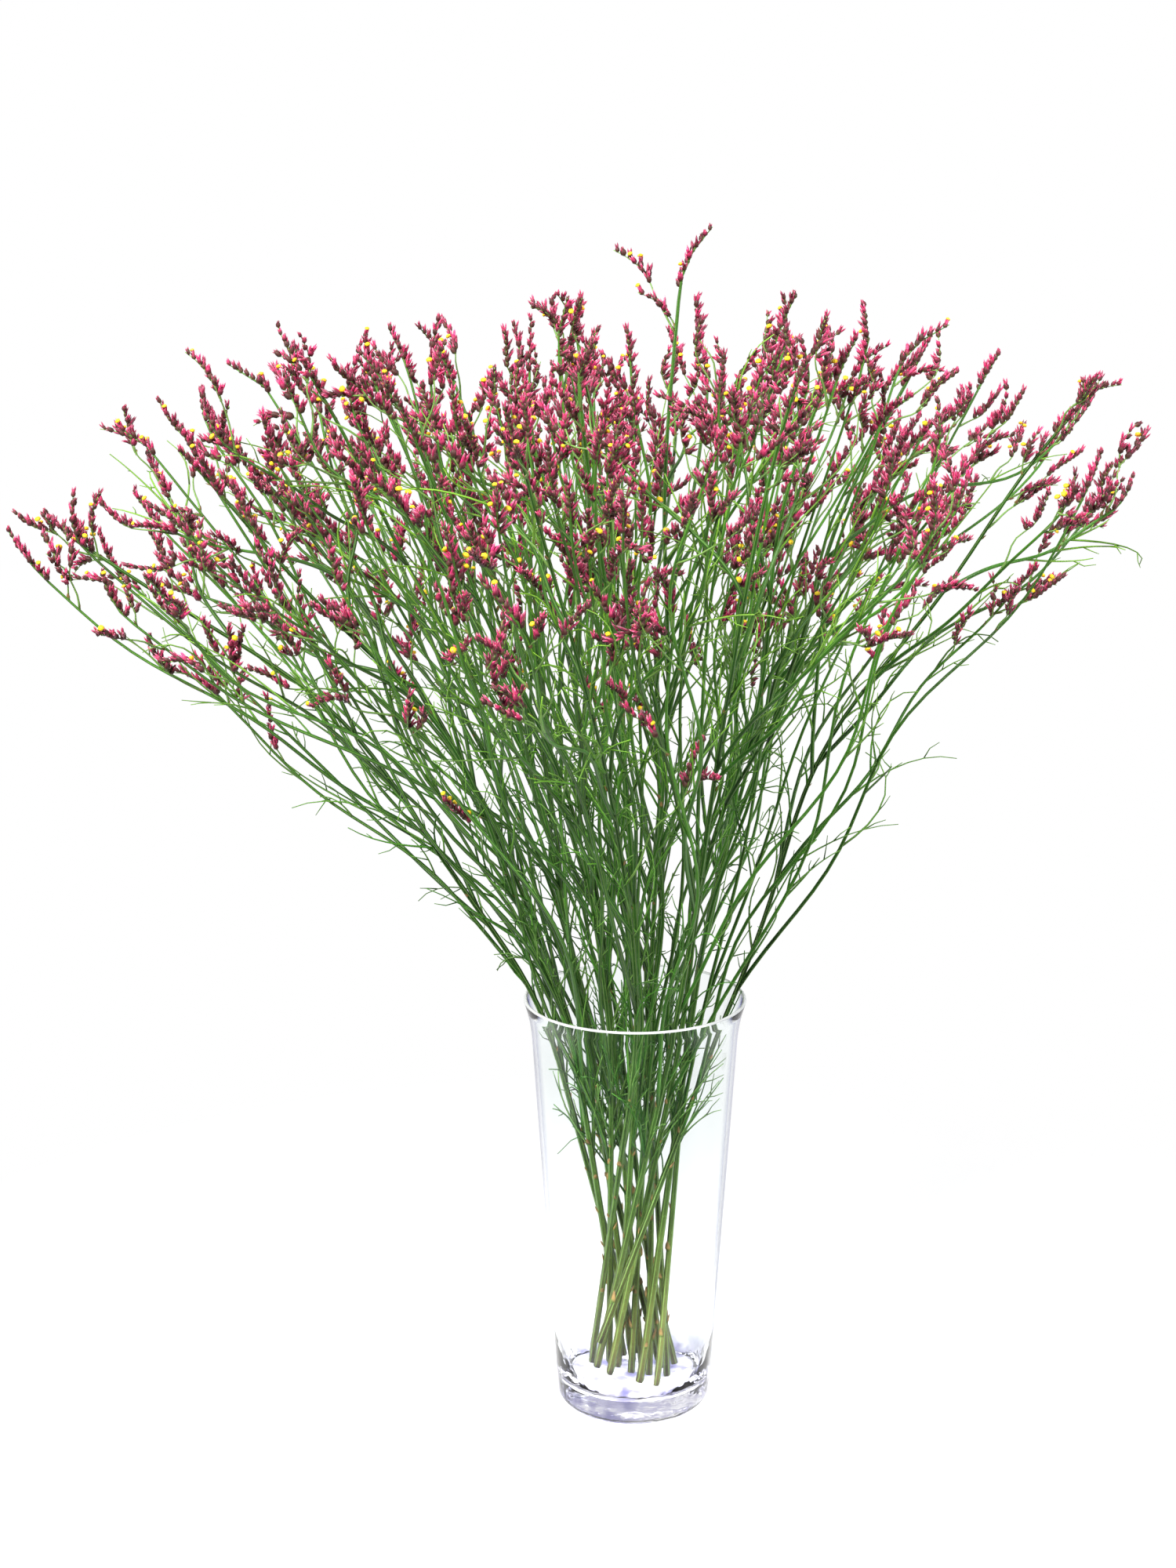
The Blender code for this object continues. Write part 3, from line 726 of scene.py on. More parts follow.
def new_piece(name, surface, materials, slot, *nodes):
    """Puts the surface into a mesh by foreach_set, and makes it a piece that stands for the CAD nodes."""
    mesh = bpy.data.meshes.new(name)
    mesh.vertices.add(len(surface.points))
    mesh.vertices.foreach_set("co", surface.points.astype(np.float32).ravel())
    corners = np.concatenate([surface.quads.ravel(), surface.triangles.ravel()]).astype(np.int32)
    mesh.loops.add(len(corners))
    mesh.loops.foreach_set("vertex_index", corners)
    quads, triangles = len(surface.quads), len(surface.triangles)
    mesh.polygons.add(quads + triangles)
    starts = np.concatenate([4 * np.arange(quads), 4 * quads + 3 * np.arange(triangles)])
    mesh.polygons.foreach_set("loop_start", starts.astype(np.int32))
    mesh.polygons.foreach_set("material_index", np.concatenate(surface.slots).astype(np.int32))
    mesh.polygons.foreach_set("use_smooth", np.ones(quads + triangles, bool))
    for value_name, values in surface.values.items():
        attribute = mesh.attributes.new(value_name, "FLOAT", "POINT")
        attribute.data.foreach_set("value", values.astype(np.float32))
    for material in materials:
        mesh.materials.append(material)
    mesh.update(calc_edges=True)
    piece = bpy.data.objects.new(name, mesh)
    bpy.context.scene.collection.objects.link(piece)
    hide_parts(*nodes)
    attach(piece, "root")
    return piece


def ring_faces(rings, sides):
    """The quads between neighbouring rings and the triangles that close the first and the last ring."""
    ring, side = np.meshgrid(np.arange(rings - 1), np.arange(sides), indexing="ij")
    after = (side + 1) % sides
    first, second = ring * sides, (ring + 1) * sides
    quads = np.stack([first + side, first + after, second + after, second + side], -1).reshape(-1, 4)
    fan = np.arange(1, sides - 1)
    low = np.stack([np.zeros_like(fan), fan + 1, fan], -1)
    high = np.stack([np.zeros_like(fan), fan, fan + 1], -1) + (rings - 1) * sides
    return quads, np.concatenate([low, high])


def tubes(lines, radii, sides, normals, ribs=0.0, **values):
    """Round tubes along lines of equal point counts: around each point a ring of radius times
    1 + ribs cos(RIB_COUNT turn), in the plane of two sides square to the line, closed at both ends. Values
    for each line's points are carried to the rings. One more, ridge, is that cosine, 1 on a rib."""
    count, points = radii.shape
    ways = unit_rows(np.gradient(lines, axis=1))
    side = square_to(np.broadcast_to(normals[:, None], lines.shape), ways)
    other = np.cross(ways, side)
    turn = 2 * math.pi * np.arange(sides) / sides
    ridge = np.cos(RIB_COUNT * turn)
    around = np.cos(turn)[:, None] * side[:, :, None] + np.sin(turn)[:, None] * other[:, :, None]
    spread = radii[:, :, None, None] * (1 + ribs * ridge)[:, None] * around
    quads, caps = ring_faces(points, sides)
    firsts = (np.arange(count) * points * sides)[:, None, None]
    shape = (count, points, sides)
    carried = {name: np.broadcast_to(value[:, :, None], shape).ravel() for name, value in values.items()}
    carried["ridge"] = np.broadcast_to(ridge, shape).ravel()
    return Surface(
        (lines[:, :, None] + spread).reshape(-1, 3),
        (quads + firsts).reshape(-1, 4),
        (caps + firsts).reshape(-1, 3),
        **carried,
    )


def body_of_rings(rings, sides, half_width, flat=1.0, bend=0.0):
    """A small closed body up +Z: rings of (height, radius in half widths), flattened in y, and bent to +X
    with the square of the height."""
    heights, radii = np.array(rings).T
    radii = radii * half_width
    turn = 2 * math.pi * np.arange(sides) / sides
    x = radii[:, None] * np.cos(turn) + bend * heights[:, None] ** 2
    y = flat * radii[:, None] * np.sin(turn)
    z = np.repeat(heights[:, None], sides, axis=1)
    quads, caps = ring_faces(len(heights), sides)
    return np.stack([x, y, z], -1).reshape(-1, 3), quads, caps


def copies(body, places, axes, sizes, slot, **values):
    """Copies of one body: each point is place + size (x X + y Y + z Z), with X, Y and Z the copy's axes.
    The value called way is the point's share of the body's height."""
    points, quads, triangles = body
    placed = places[:, None] + np.einsum("pk,nkc->npc", points, axes) * sizes[:, None, None]
    firsts = (np.arange(len(places)) * len(points))[:, None, None]
    low, high = points[:, 2].min(), points[:, 2].max()
    carried = {name: np.repeat(value, len(points)) for name, value in values.items()}
    carried["way"] = np.tile((points[:, 2] - low) / (high - low), len(places))
    return Surface(
        placed.reshape(-1, 3),
        (quads + firsts).reshape(-1, 4),
        (triangles + firsts).reshape(-1, 3),
        slot,
        **carried,
    )


def line_radii(shoot):
    """Radii along the smooth line: the solid's own thinning, slimmer, and a thin end under the florets."""
    neck = shoot.neck
    root = shoot.radii[0] * ROOT_THINNING[shoot.level]
    end = shoot.radii[-1] * NECK_THINNING[shoot.level]
    body = root + (end - root) * np.clip(shoot.ts / neck, 0, 1) ** LINE_THINNING_CURVE
    spike = np.clip((shoot.ts - neck) / (len(shoot.chain) - neck), 0, 1)
    return body + (RACHIS_END - body) * spike


def shoot_surfaces(shoots, rib_depth, rng):
    """The tubes of all the shoots of one stem, level by level, ribbed on the stem and its branches."""
    surfaces = []
    for level, sides in LINE_SIDES.items():
        group = [shoot for shoot in shoots if shoot.level == level]
        lines = np.array([shoot.line for shoot in group])
        radii = np.array([line_radii(shoot) for shoot in group])
        chords = lines[:, -1] - lines[:, 0]
        normals = unit_rows(np.cross(chords, ANY_WAY))
        low, high = AGES[level]
        share = np.linspace(0, 1, lines.shape[1])
        ages = np.broadcast_to(low + (high - low) * share, radii.shape)
        tones = np.broadcast_to(rng.uniform(size=(len(group), 1)), radii.shape)
        ribs = 0.0 if level == "twig" else rib_depth
        surfaces.append(tubes(lines, radii, sides, normals, ribs, age=ages, tone=tones))
    return surfaces


def hook_lines(roots, ways, sides, lengths, bends, count):
    """Lines that turn steadily more: with s from 0 at the root to 1 at the tip, the angle from the way
    towards the side is bend times s squared, and the points are the running sums of the direction."""
    share = (np.arange(count - 1) + 0.5) / (count - 1)
    angles = bends[:, None] * share**2
    steps = np.cos(angles)[..., None] * ways[:, None] + np.sin(angles)[..., None] * sides[:, None]
    steps = steps * (lengths / (count - 1))[:, None, None]
    start = np.zeros((len(roots), 1, 3))
    return roots[:, None] + np.concatenate([start, np.cumsum(steps, axis=1)], axis=1)


def hook_tubes(lines, radii, sides, normals, tip_age, rng):
    """Thin tubes along hooked lines, their radius falling evenly. They look older and darker low down,
    younger among the flowers, and a little younger at their tips."""
    share = np.linspace(0, 1, lines.shape[1])
    radii = np.broadcast_to(np.interp(share, (0, 1), radii), lines.shape[:2])
    ages = np.interp(lines[..., 2], HOOK_AGE_HEIGHTS, HOOK_AGES) + tip_age * share
    tones = np.broadcast_to(rng.uniform(size=(len(lines), 1)), radii.shape)
    return tubes(lines, radii, sides, normals, age=ages, tone=tones)


def barb_surfaces(hooks, lengths, rng):
    """Short barbs at two places on each hooked twig, turned to any side, as hooked lines of their own."""
    count = len(hooks)
    surfaces = []
    for place in BARB_PLACES:
        index = round(place * (HOOK_POINTS - 1))
        way = unit_rows(hooks[:, index + 1] - hooks[:, index - 1])
        side = square_to(rng.normal(size=(count, 3)), way)
        lean = rng.uniform(*BARB_ANGLES, size=(count, 1))
        leave = np.cos(lean) * way + np.sin(lean) * side
        reach = np.minimum(rng.uniform(*BARB_LENGTHS, size=count), BARB_SHARE * lengths)
        bends = rng.uniform(*BARB_BENDS, size=count)
        barbs = hook_lines(hooks[:, index], leave, square_to(way, leave), reach, bends, BARB_POINTS)
        barbs = barbs[glass_spare(barbs).min(axis=1) > GLASS_GAP]
        if len(barbs):
            normals = unit_rows(np.cross(unit_rows(barbs[:, -1] - barbs[:, 0]), ANY_WAY))
            surfaces.append(hook_tubes(barbs, BARB_RADII, BARB_SIDES, normals, BARB_TIP_AGE, rng))
    return surfaces


def hook_surfaces(shoots, rng):
    """The thin twigs without flowers, hooked at their ends, and the barbs on them. Those low down droop, and
    those that would cross the glass lean, bend and reach less, or else are left out."""
    roots, ways = [], []
    for shoot in shoots:
        if shoot.level not in HOOK_COUNTS:
            continue
        first, last = HOOK_RANGES[shoot.level]
        for t in first + (last - first) * rng.uniform(size=HOOK_COUNTS[shoot.level]) ** HOOK_CROWDING:
            roots.append(shoot.line_at(t))
            ways.append(shoot.way_at(t))
    roots, ways = np.array(roots), np.array(ways)
    count = len(roots)
    out = square_to(rng.normal(size=(count, 3)), ways)
    lean = rng.uniform(*HOOK_ANGLES, size=(count, 1))
    wander = HOOK_WANDER * rng.normal(size=(count, 3))
    bends = rng.uniform(*HOOK_BENDS, size=count)
    lengths = rng.uniform(*HOOK_LENGTHS, size=count)
    low = roots[:, 2] < DROOP_HEIGHT
    bends = np.where(low, -np.abs(bends), bends)
    lengths = np.where(low, DROOP_LENGTH * lengths, lengths)
    for _attempt in range(GLASS_TRIES):
        leave = np.cos(lean) * ways + np.sin(lean) * out
        bend_side = square_to(ways + wander, leave)
        lines = hook_lines(roots, leave, bend_side, lengths, bends, HOOK_POINTS)
        crossing = glass_spare(lines).min(axis=1) < GLASS_GAP
        eased = np.where(crossing, HOOK_EASING, 1.0)
        lean, bends, lengths = lean * eased[:, None], bends * eased, lengths * np.sqrt(eased)
    kept = ~crossing
    lines, bend_side, lengths = lines[kept], bend_side[kept], lengths[kept]
    normals = np.cross(unit_rows(lines[:, 1] - lines[:, 0]), bend_side)
    hooks = hook_tubes(lines, HOOK_RADII, HOOK_SIDES, normals, HOOK_TIP_AGE, rng)
    return [hooks, *barb_surfaces(lines, lengths, rng)]


def bract_places(shoots, rng):
    """Where the bracts sit, along what and on which side of it: one under each branching, and some along the
    stem."""
    places, ways, outs = [], [], []
    for shoot in shoots:
        if shoot.level == "stem":
            run = np.linalg.norm(np.diff(shoot.line, axis=0), axis=1).sum()
            count = round(run / STEM_BRACT_PITCH)
            shift = rng.uniform(-STEM_BRACT_JITTER, STEM_BRACT_JITTER)
            for t in np.linspace(*STEM_BRACT_RANGE, count) + shift:
                way = shoot.way_at(t)
                out = unit(np.cross(way, rng.normal(size=3)))
                radius = np.interp(t, shoot.ts, line_radii(shoot))
                places.append(shoot.line_at(t) + BRACT_SINK * radius * out)
                ways.append(way)
                outs.append(out)
        else:
            way = unit(shoot.line[1] - shoot.line[0])
            places.append(shoot.line[0] + BRACT_STEP * way)
            ways.append(way)
            outs.append(unit(np.cross(way, rng.normal(size=3))))
    return np.array(places), np.array(ways), np.array(outs)


def bract_surface(shoots, rng):
    """Papery bracts, pressed to what they grow on, and larger low on the stem."""
    places, ways, outs = bract_places(shoots, rng)
    z = unit_rows(ways + BRACT_LEAN * outs)
    x = square_to(outs, z)
    axes = np.stack([np.cross(x, z), x, z], axis=1)
    body = body_of_rings(BRACT_RINGS, BRACT_SIDES, BRACT_HALF_WIDTH / BRACT_LENGTH, flat=BRACT_FLAT)
    sizes = rng.uniform(*BRACT_SIZES, size=len(places))
    sizes = sizes * np.interp(places[:, 2], LOW_BRACT_HEIGHTS, LOW_BRACT_SIZES) * BRACT_LENGTH
    tones = rng.uniform(size=len(places))
    surface = copies(body, places, axes, sizes, slot=1, tone=tones)
    surface.values["age"] = surface.values.pop("way")
    surface.values["ridge"] = np.zeros(len(surface.points))
    return surface


def floret_places(shoots, rng):
    """Where the florets sit, the axes they stand along, their sizes and how far up their spike they are:
    evenly along each spike, in two ranks to either side of its upper side, leaning less near its end."""
    places, forward, outward, sizes, shares = [], [], [], [], []
    for shoot in shoots:
        spike = (len(shoot.chain) - shoot.neck) * last_length(shoot.chain)
        count = max(LEAST_FLORETS, round(spike / FLORET_PITCH))
        share = (np.arange(count) + FIRST_FLORET) / count
        ts = shoot.neck + (len(shoot.chain) - shoot.neck) * share
        points = np.array([np.interp(ts, shoot.ts, shoot.line[:, axis]) for axis in range(3)]).T
        way = unit(shoot.line[-1] - shoot.line_at(shoot.neck))
        side = shoot.flower_side()
        side = unit(side - way * (side @ way))
        rank = np.where(np.arange(count) % 2, 1, -1) * RANK_ANGLE * rng.uniform(*RANK_VARIETY, count)
        out = np.cos(rank)[:, None] * side + np.sin(rank)[:, None] * np.cross(way, side)
        lean = rng.uniform(*FLORET_LEANS) * (1 - (1 - END_LEAN) * share) * rng.uniform(*LEAN_VARIETY, count)
        lean = lean[:, None]
        places.append(points)
        forward.append(np.cos(lean) * way + np.sin(lean) * out)
        outward.append(np.cos(lean) * out - np.sin(lean) * way)
        sizes.append((1 - (1 - END_SIZE) * share**2) * rng.uniform(*FLORET_SIZES, count))
        shares.append(share)
    return [np.concatenate(values) for values in (places, forward, outward, sizes, shares)]


def leaned_body(body, slope_x, slope_y):
    """The body sheared, so that it leans by the slopes given in x and y."""
    points, quads, triangles = body
    return points + points[:, 2:] * np.array([slope_x, slope_y, 0.0]), quads, triangles


def floret_surface(shoots, length, width, open_share, rng):
    """Each floret is a pointed bract-like calyx, three pointed corolla lobes that rise out of it and part,
    and, on a share of them, a yellow round tip. Some are buds with short lobes."""
    places, z, x, sizes, shares = floret_places(shoots, rng)
    sizes = sizes * length
    count = len(places)
    roll = rng.uniform(-ROLL, ROLL, size=(count, 1))
    y = np.cross(z, x)
    axes = np.stack([np.cos(roll) * x + np.sin(roll) * y, np.cos(roll) * y - np.sin(roll) * x, z], axis=1)
    tones = rng.uniform(size=count)
    bud = np.where(rng.uniform(size=count) < BUD_SHARE, BUD_SIZE, 1.0)
    opened = rng.uniform(size=count) < open_share * (1 - OPEN_FALLOFF * shares)
    half = width / length / 2
    calyx = body_of_rings(CALYX_RINGS, CALYX_SIDES, half, flat=FLORET_FLAT, bend=CALYX_BEND)
    lobe = body_of_rings(LOBE_RINGS, LOBE_SIDES, half, flat=FLORET_FLAT, bend=LOBE_BEND)
    tip = body_of_rings(TIP_RINGS, TIP_SIDES, half, bend=LOBE_BEND)
    surfaces = [copies(calyx, places, axes, sizes, slot=0, tone=tones)]
    slope = math.tan(LOBE_SPREAD)
    for (lean_x, lean_y), lobe_size in zip(LOBE_LEANS, LOBE_SIZES):
        body = leaned_body(lobe, slope * lean_x, slope * lean_y)
        surfaces.append(copies(body, places, axes, lobe_size * bud * sizes, slot=1, tone=tones))
    if opened.any():
        surfaces.append(copies(tip, places[opened], axes[opened], sizes[opened], slot=2, tone=tones[opened]))
    return join(surfaces)


def vase_outline():
    """Half the vase's outline as radius and height: floor, corner, inner wall, round lip, outer wall and
    rounded heel. The walls follow outside_radius, the inner corner is a tall quarter ellipse, so that the
    wall thickens towards the floor, the lip is half a circle and the heel a quarter."""
    corner_top = FLOOR_HEIGHT + CORNER_HEIGHT
    corner = outside_radius(corner_top) - WALL - CORNER_WIDTH
    turn = np.linspace(0, math.pi / 2, ARC_POINTS)
    floor = [np.linspace(0.0, corner, FLAT_POINTS)[:-1], np.full(FLAT_POINTS - 1, FLOOR_HEIGHT)]
    bowl = [corner + CORNER_WIDTH * np.sin(turn), FLOOR_HEIGHT + CORNER_HEIGHT * (1 - np.cos(turn))]
    lip_round = WALL / 2
    wall_top = VASE_HEIGHT - lip_round
    heights = np.linspace(corner_top, wall_top, WALL_POINTS)[1:]
    inner = [outside_radius(heights) - WALL, heights]
    around = np.linspace(0, math.pi, ARC_POINTS)[1:-1]
    middle = outside_radius(wall_top) - lip_round
    lip = [middle - lip_round * np.cos(around), wall_top + lip_round * np.sin(around)]
    heights = np.linspace(wall_top, HEEL_RADIUS, WALL_POINTS)
    outer = [outside_radius(heights), heights]
    heel_centre = outside_radius(HEEL_RADIUS) - HEEL_RADIUS
    heel = [heel_centre + HEEL_RADIUS * np.cos(turn[1:]), HEEL_RADIUS * (1 - np.sin(turn[1:]))]
    under = [np.linspace(heel_centre, 0.0, FLAT_POINTS)[1:], np.zeros(FLAT_POINTS - 1)]
    return np.concatenate([floor, bowl, inner, lip, outer, heel, under], axis=1)


def vase_surface(segments):
    """The outline turned about the vase's axis: x = r cos(turn), y = r sin(turn). The two points on the axis
    are poles, closed by triangles. The lip's faces take the second material, whose pale band is a painted
    highlight."""
    radius, height = vase_outline()
    turn = 2 * math.pi * np.arange(segments) / segments
    rings = np.stack(
        [
            radius[1:-1, None] * np.cos(turn),
            radius[1:-1, None] * np.sin(turn),
            np.repeat(height[1:-1, None], segments, axis=1),
        ],
        -1,
    )
    count = len(rings)
    quads, _caps = ring_faces(count, segments)
    quads = quads[:, ::-1]
    side = np.arange(segments)
    after = (side + 1) % segments
    floor_pole, under_pole = count * segments, count * segments + 1
    floor = np.stack([np.full(segments, floor_pole), side, after], -1)
    last = (count - 1) * segments
    under = np.stack([np.full(segments, under_pole), last + after, last + side], -1)
    poles = np.array([[0, 0, height[0]], [0, 0, height[-1]]])
    points = np.concatenate([rings.reshape(-1, 3), poles])
    surface = Surface(points, quads, np.concatenate([floor, under]))
    # Painted highlight: the lip's top band takes the pale lip material
    in_lip_highlight = points[quads, 2].mean(axis=1) > VASE_HEIGHT - LIP_HIGHLIGHT_HEIGHT
    surface.slots = (in_lip_highlight.astype(int), surface.slots[1])
    return surface


def add_node(tree, kind, inputs=(), **settings):
    """A node with its settings, and its inputs set to values or linked to other nodes' sockets."""
    made = tree.nodes.new(kind)
    for name, value in settings.items():
        setattr(made, name, value)
    for key, value in dict(inputs).items():
        if isinstance(value, bpy.types.NodeSocket):
            tree.links.new(value, made.inputs[key])
        else:
            made.inputs[key].default_value = value
    return made


def add_ramp(tree, factor, stops):
    """A colour ramp through (place, colour) stops."""
    stops = tuple(stops)
    ramp = add_node(tree, "ShaderNodeValToRGB", {"Fac": factor})
    elements = ramp.color_ramp.elements
    while len(elements) < len(stops):
        elements.new(1.0)
    for element, (place, colour) in zip(elements, stops):
        element.position = place
        element.color = (*colour[:3], 1.0)
    return ramp.outputs["Color"]


def read_value(tree, name):
    """One of the values that each point of the piece carries."""
    return add_node(tree, "ShaderNodeAttribute", attribute_name=name).outputs["Fac"]


def add_noise(tree, vector, scale, detail=3.0):
    """Noise from 0 to 1, its scale in waves a metre."""
    inputs = {"Vector": vector, "Scale": scale, "Detail": detail}
    return add_node(tree, "ShaderNodeTexNoise", inputs).outputs["Fac"]


def mix_colours(tree, blend, factor, first, second):
    """One colour over another, in the blend mode, by the factor."""
    node = add_node(tree, "ShaderNodeMix", {MIX_FACTOR: factor}, data_type="RGBA", blend_type=blend)
    for key, colour in zip(MIX_COLOURS, (first, second)):
        if isinstance(colour, bpy.types.NodeSocket):
            tree.links.new(colour, node.inputs[key])
        else:
            node.inputs[key].default_value = (*colour[:3], 1.0)
    return node.outputs[MIX_RESULT]


def add_math(tree, operation, first, second=0.0, third=0.0):
    """A sum, product or other result of up to three values."""
    return add_node(tree, "ShaderNodeMath", {0: first, 1: second, 2: third}, operation=operation).outputs[0]


def new_material(name, **inputs):
    """A material and its tree, with the shader's own constant values."""
    material = bpy.data.materials.new(name)
    material.use_nodes = True
    shader = material.node_tree.nodes["Principled BSDF"]
    for key, value in inputs.items():
        shader.inputs[key.replace("_", " ")].default_value = value
    return material, material.node_tree, shader


def object_points(tree):
    """The place of what is shaded, in the piece's own metres."""
    return add_node(tree, "ShaderNodeTexCoord").outputs["Object"]


def part_of(tree, vector, axis):
    """One of the three parts of a vector."""
    return add_node(tree, "ShaderNodeSeparateXYZ", {0: vector}).outputs[axis]


def seen_directly(tree):
    """1 for what is seen directly or through the glass, and 0 for what lights the pieces or is mirrored."""
    path = add_node(tree, "ShaderNodeLightPath").outputs
    bounces = add_math(tree, "ADD", path["Diffuse Depth"], path["Glossy Depth"])
    return add_math(tree, "LESS_THAN", bounces, 0.5)


def colour_with(tree, shader, base, shade):
    """Gives the shader the base colour times the shade."""
    tree.links.new(mix_colours(tree, "MULTIPLY", 1.0, base, shade), shader.inputs["Base Color"])


def add_bump(tree, shader, height, distance, strength):
    """Tilts the shader's normal as a surface raised by the height, of up to the distance, would."""
    bump = add_node(tree, "ShaderNodeBump", {"Height": height, "Distance": distance, "Strength": strength})
    tree.links.new(bump.outputs["Normal"], shader.inputs["Normal"])


def add_grain(tree, shader, scale, distance, strength):
    """A fine bump from noise at the scale."""
    add_bump(tree, shader, add_noise(tree, object_points(tree), scale), distance, strength)


def stem_material(settings):
    """Green stem: olive at the foot, deep green, then yellow-green twigs, with flecks. The ribs are paler,
    partly their own paler green and partly a painted highlight along them.
    """
    material, tree, shader = new_material("statice_stem_green", Roughness=0.42, Specular_IOR_Level=0.3)
    colours = (
        settings.cut_colour,
        settings.foot_colour,
        settings.low_colour,
        settings.stem_colour,
        settings.branch_colour,
        settings.twig_colour,
    )
    base = add_ramp(tree, read_value(tree, "age"), zip(STEM_PLACES, colours))
    points = object_points(tree)
    tone = add_math(tree, "MULTIPLY", read_value(tree, "tone"), STEM_TONE_SHARE)
    patches = add_math(tree, "MULTIPLY", add_noise(tree, points, scale=55.0), STEM_PATCH_SHARE)
    shade = add_ramp(tree, add_math(tree, "ADD", tone, patches), STEM_SHADES)
    base = mix_colours(tree, "MULTIPLY", 1.0, base, shade)
    # The rib tops are paler: partly the ribs' own paler green, partly a painted highlight along them
    ridge = add_math(tree, "MAXIMUM", read_value(tree, "ridge"), 0.0)
    ribs = add_math(tree, "MULTIPLY", ridge, RIB_HIGHLIGHT_SHARE)
    base = mix_colours(tree, "MIX", ribs, base, settings.rib_highlight_and_fleck_colour)
    spots = add_ramp(tree, add_noise(tree, points, scale=900.0, detail=2.0), FLECK_STOPS)
    flecks = add_math(tree, "MULTIPLY", spots, FLECK_SHARE)
    base = mix_colours(tree, "MIX", flecks, base, settings.rib_highlight_and_fleck_colour)
    tree.links.new(base, shader.inputs["Base Color"])
    add_grain(tree, shader, scale=600.0, distance=0.0004, strength=0.6)
    return material


def bract_material(settings):
    """Papery bract: green at its root, then tan to brown."""
    material, tree, shader = new_material("statice_bract_tan", Roughness=0.75)
    colours = (settings.branch_colour, settings.bract_colour, settings.bract_tip_colour)
    base = add_ramp(tree, read_value(tree, "age"), zip(BRACT_PLACES, colours))
    colour_with(tree, shader, base, add_ramp(tree, read_value(tree, "tone"), BRACT_SHADES))
    add_grain(tree, shader, scale=1500.0, distance=0.0002, strength=0.5)
    return material


def calyx_material(settings):
    """Calyx: green at its root, then maroon brown, some more crimson, with a pale papery edge."""
    material, tree, shader = new_material("statice_calyx", Roughness=0.6)
    way = read_value(tree, "way")
    root, edge = settings.root_colour, settings.edge_colour
    colours = (root, settings.calyx_colour, settings.calyx_colour, edge)
    brown = add_ramp(tree, way, zip(CALYX_PLACES, colours))
    colours = (root, settings.petal_dark, settings.petal_colour, edge)
    flushed = add_ramp(tree, way, zip(FLUSHED_PLACES, colours))
    choose = add_ramp(tree, read_value(tree, "tone"), FLUSHED_STOPS)
    base = mix_colours(tree, "MIX", choose, brown, flushed)
    patches = add_noise(tree, object_points(tree), scale=420.0)
    colour_with(tree, shader, base, add_ramp(tree, patches, CALYX_SHADES))
    add_grain(tree, shader, scale=2200.0, distance=0.0002, strength=0.5)
    return material


def petal_material(settings):
    """Corolla: dark crimson in its throat, crimson, then paler pink points, lighter or darker by floret."""
    material, tree, shader = new_material(
        "statice_petal", Roughness=0.42, Specular_IOR_Level=0.5, Sheen_Weight=0.2
    )
    colours = (settings.petal_dark, settings.petal_colour, settings.petal_colour, settings.petal_light)
    base = add_ramp(tree, read_value(tree, "way"), zip(PETAL_PLACES, colours))
    shade = add_ramp(tree, read_value(tree, "tone"), PETAL_SHADES)
    base = mix_colours(tree, "MULTIPLY", 1.0, base, shade)
    # Streaks of noise: partly the petals' own streaky colour, partly painted highlight and shade
    streak_light = add_noise(tree, object_points(tree), scale=700.0)
    colour_with(tree, shader, base, add_ramp(tree, streak_light, STREAK_HIGHLIGHT_SHADES))
    add_grain(tree, shader, scale=2500.0, distance=0.0002, strength=0.5)
    return material


def open_tip_material(settings):
    """The yellow tip of an open floret, deeper in hue low down."""
    material, tree, shader = new_material("statice_open_tip", Roughness=0.5)
    colours = (settings.tip_deep_colour, settings.tip_colour)
    base = add_ramp(tree, read_value(tree, "way"), zip(TIP_PLACES, colours))
    tree.links.new(base, shader.inputs["Base Color"])
    add_grain(tree, shader, scale=1800.0, distance=0.0004, strength=0.8)
    return material


def glass_material(settings):
    """Clear glass, lilac where it is seen edge on, partly its own tint and partly a painted reflection, and
    in faint patches in its thick base, a painted refraction of its surroundings, with shallow waves that show
    in its highlights, and stronger ones low down."""
    material, tree, shader = new_material(
        "clear_vase_glass",
        Roughness=0.0,
        IOR=settings.ior,
        Transmission_Weight=1.0,
        Specular_Tint=GLASS_GLOSS,
    )
    points = object_points(tree)
    height = add_math(tree, "DIVIDE", part_of(tree, points, "Z"), BASE_SHADE_HEIGHT)
    low = add_ramp(tree, height, BASE_STOPS)
    # Painted refraction: lilac noise patches low in the glass stand in for the surroundings seen through the
    # thick base
    refraction_blotches = add_noise(tree, points, scale=60.0, detail=2.0)
    patches = add_ramp(tree, refraction_blotches, zip(PATCH_PLACES, (settings.base_refraction_tint, CLEAR_PATCH)))
    base = mix_colours(tree, "MIX", low, settings.tint, patches)
    # Edge on, the glass turns lilac: partly its own tint through a longer path, partly a painted reflection
    # of darker side light
    facing = add_node(tree, "ShaderNodeLayerWeight", {"Blend": 0.5}).outputs["Facing"]
    colour_with(tree, shader, base, add_ramp(tree, facing, zip(EDGE_PLACES, (WHITE, settings.edge_tint_and_reflection))))
    waves = add_math(tree, "MULTIPLY", add_noise(tree, points, scale=18.0, detail=1.0), WAVE_SHARE)
    low_waves = add_math(tree, "MULTIPLY", add_noise(tree, points, scale=75.0, detail=2.0), low)
    add_bump(tree, shader, add_math(tree, "ADD", waves, low_waves), distance=0.002, strength=0.5)
    return material


def lip_highlight_material(settings):
    """The lip, painted as a highlight: glass that is partly a pale matte surface, so that the rim reads as a
    bright line, with fine unevenness from its fire polish.
    """
    material, tree, shader = new_material(
        "clear_vase_lip_highlight",
        Base_Color=(*settings.tint, 1.0),
        Roughness=0.05,
        IOR=settings.ior,
        Transmission_Weight=settings.lip_clear,
    )
    add_grain(tree, shader, scale=90.0, distance=0.0004, strength=0.3)
    return material


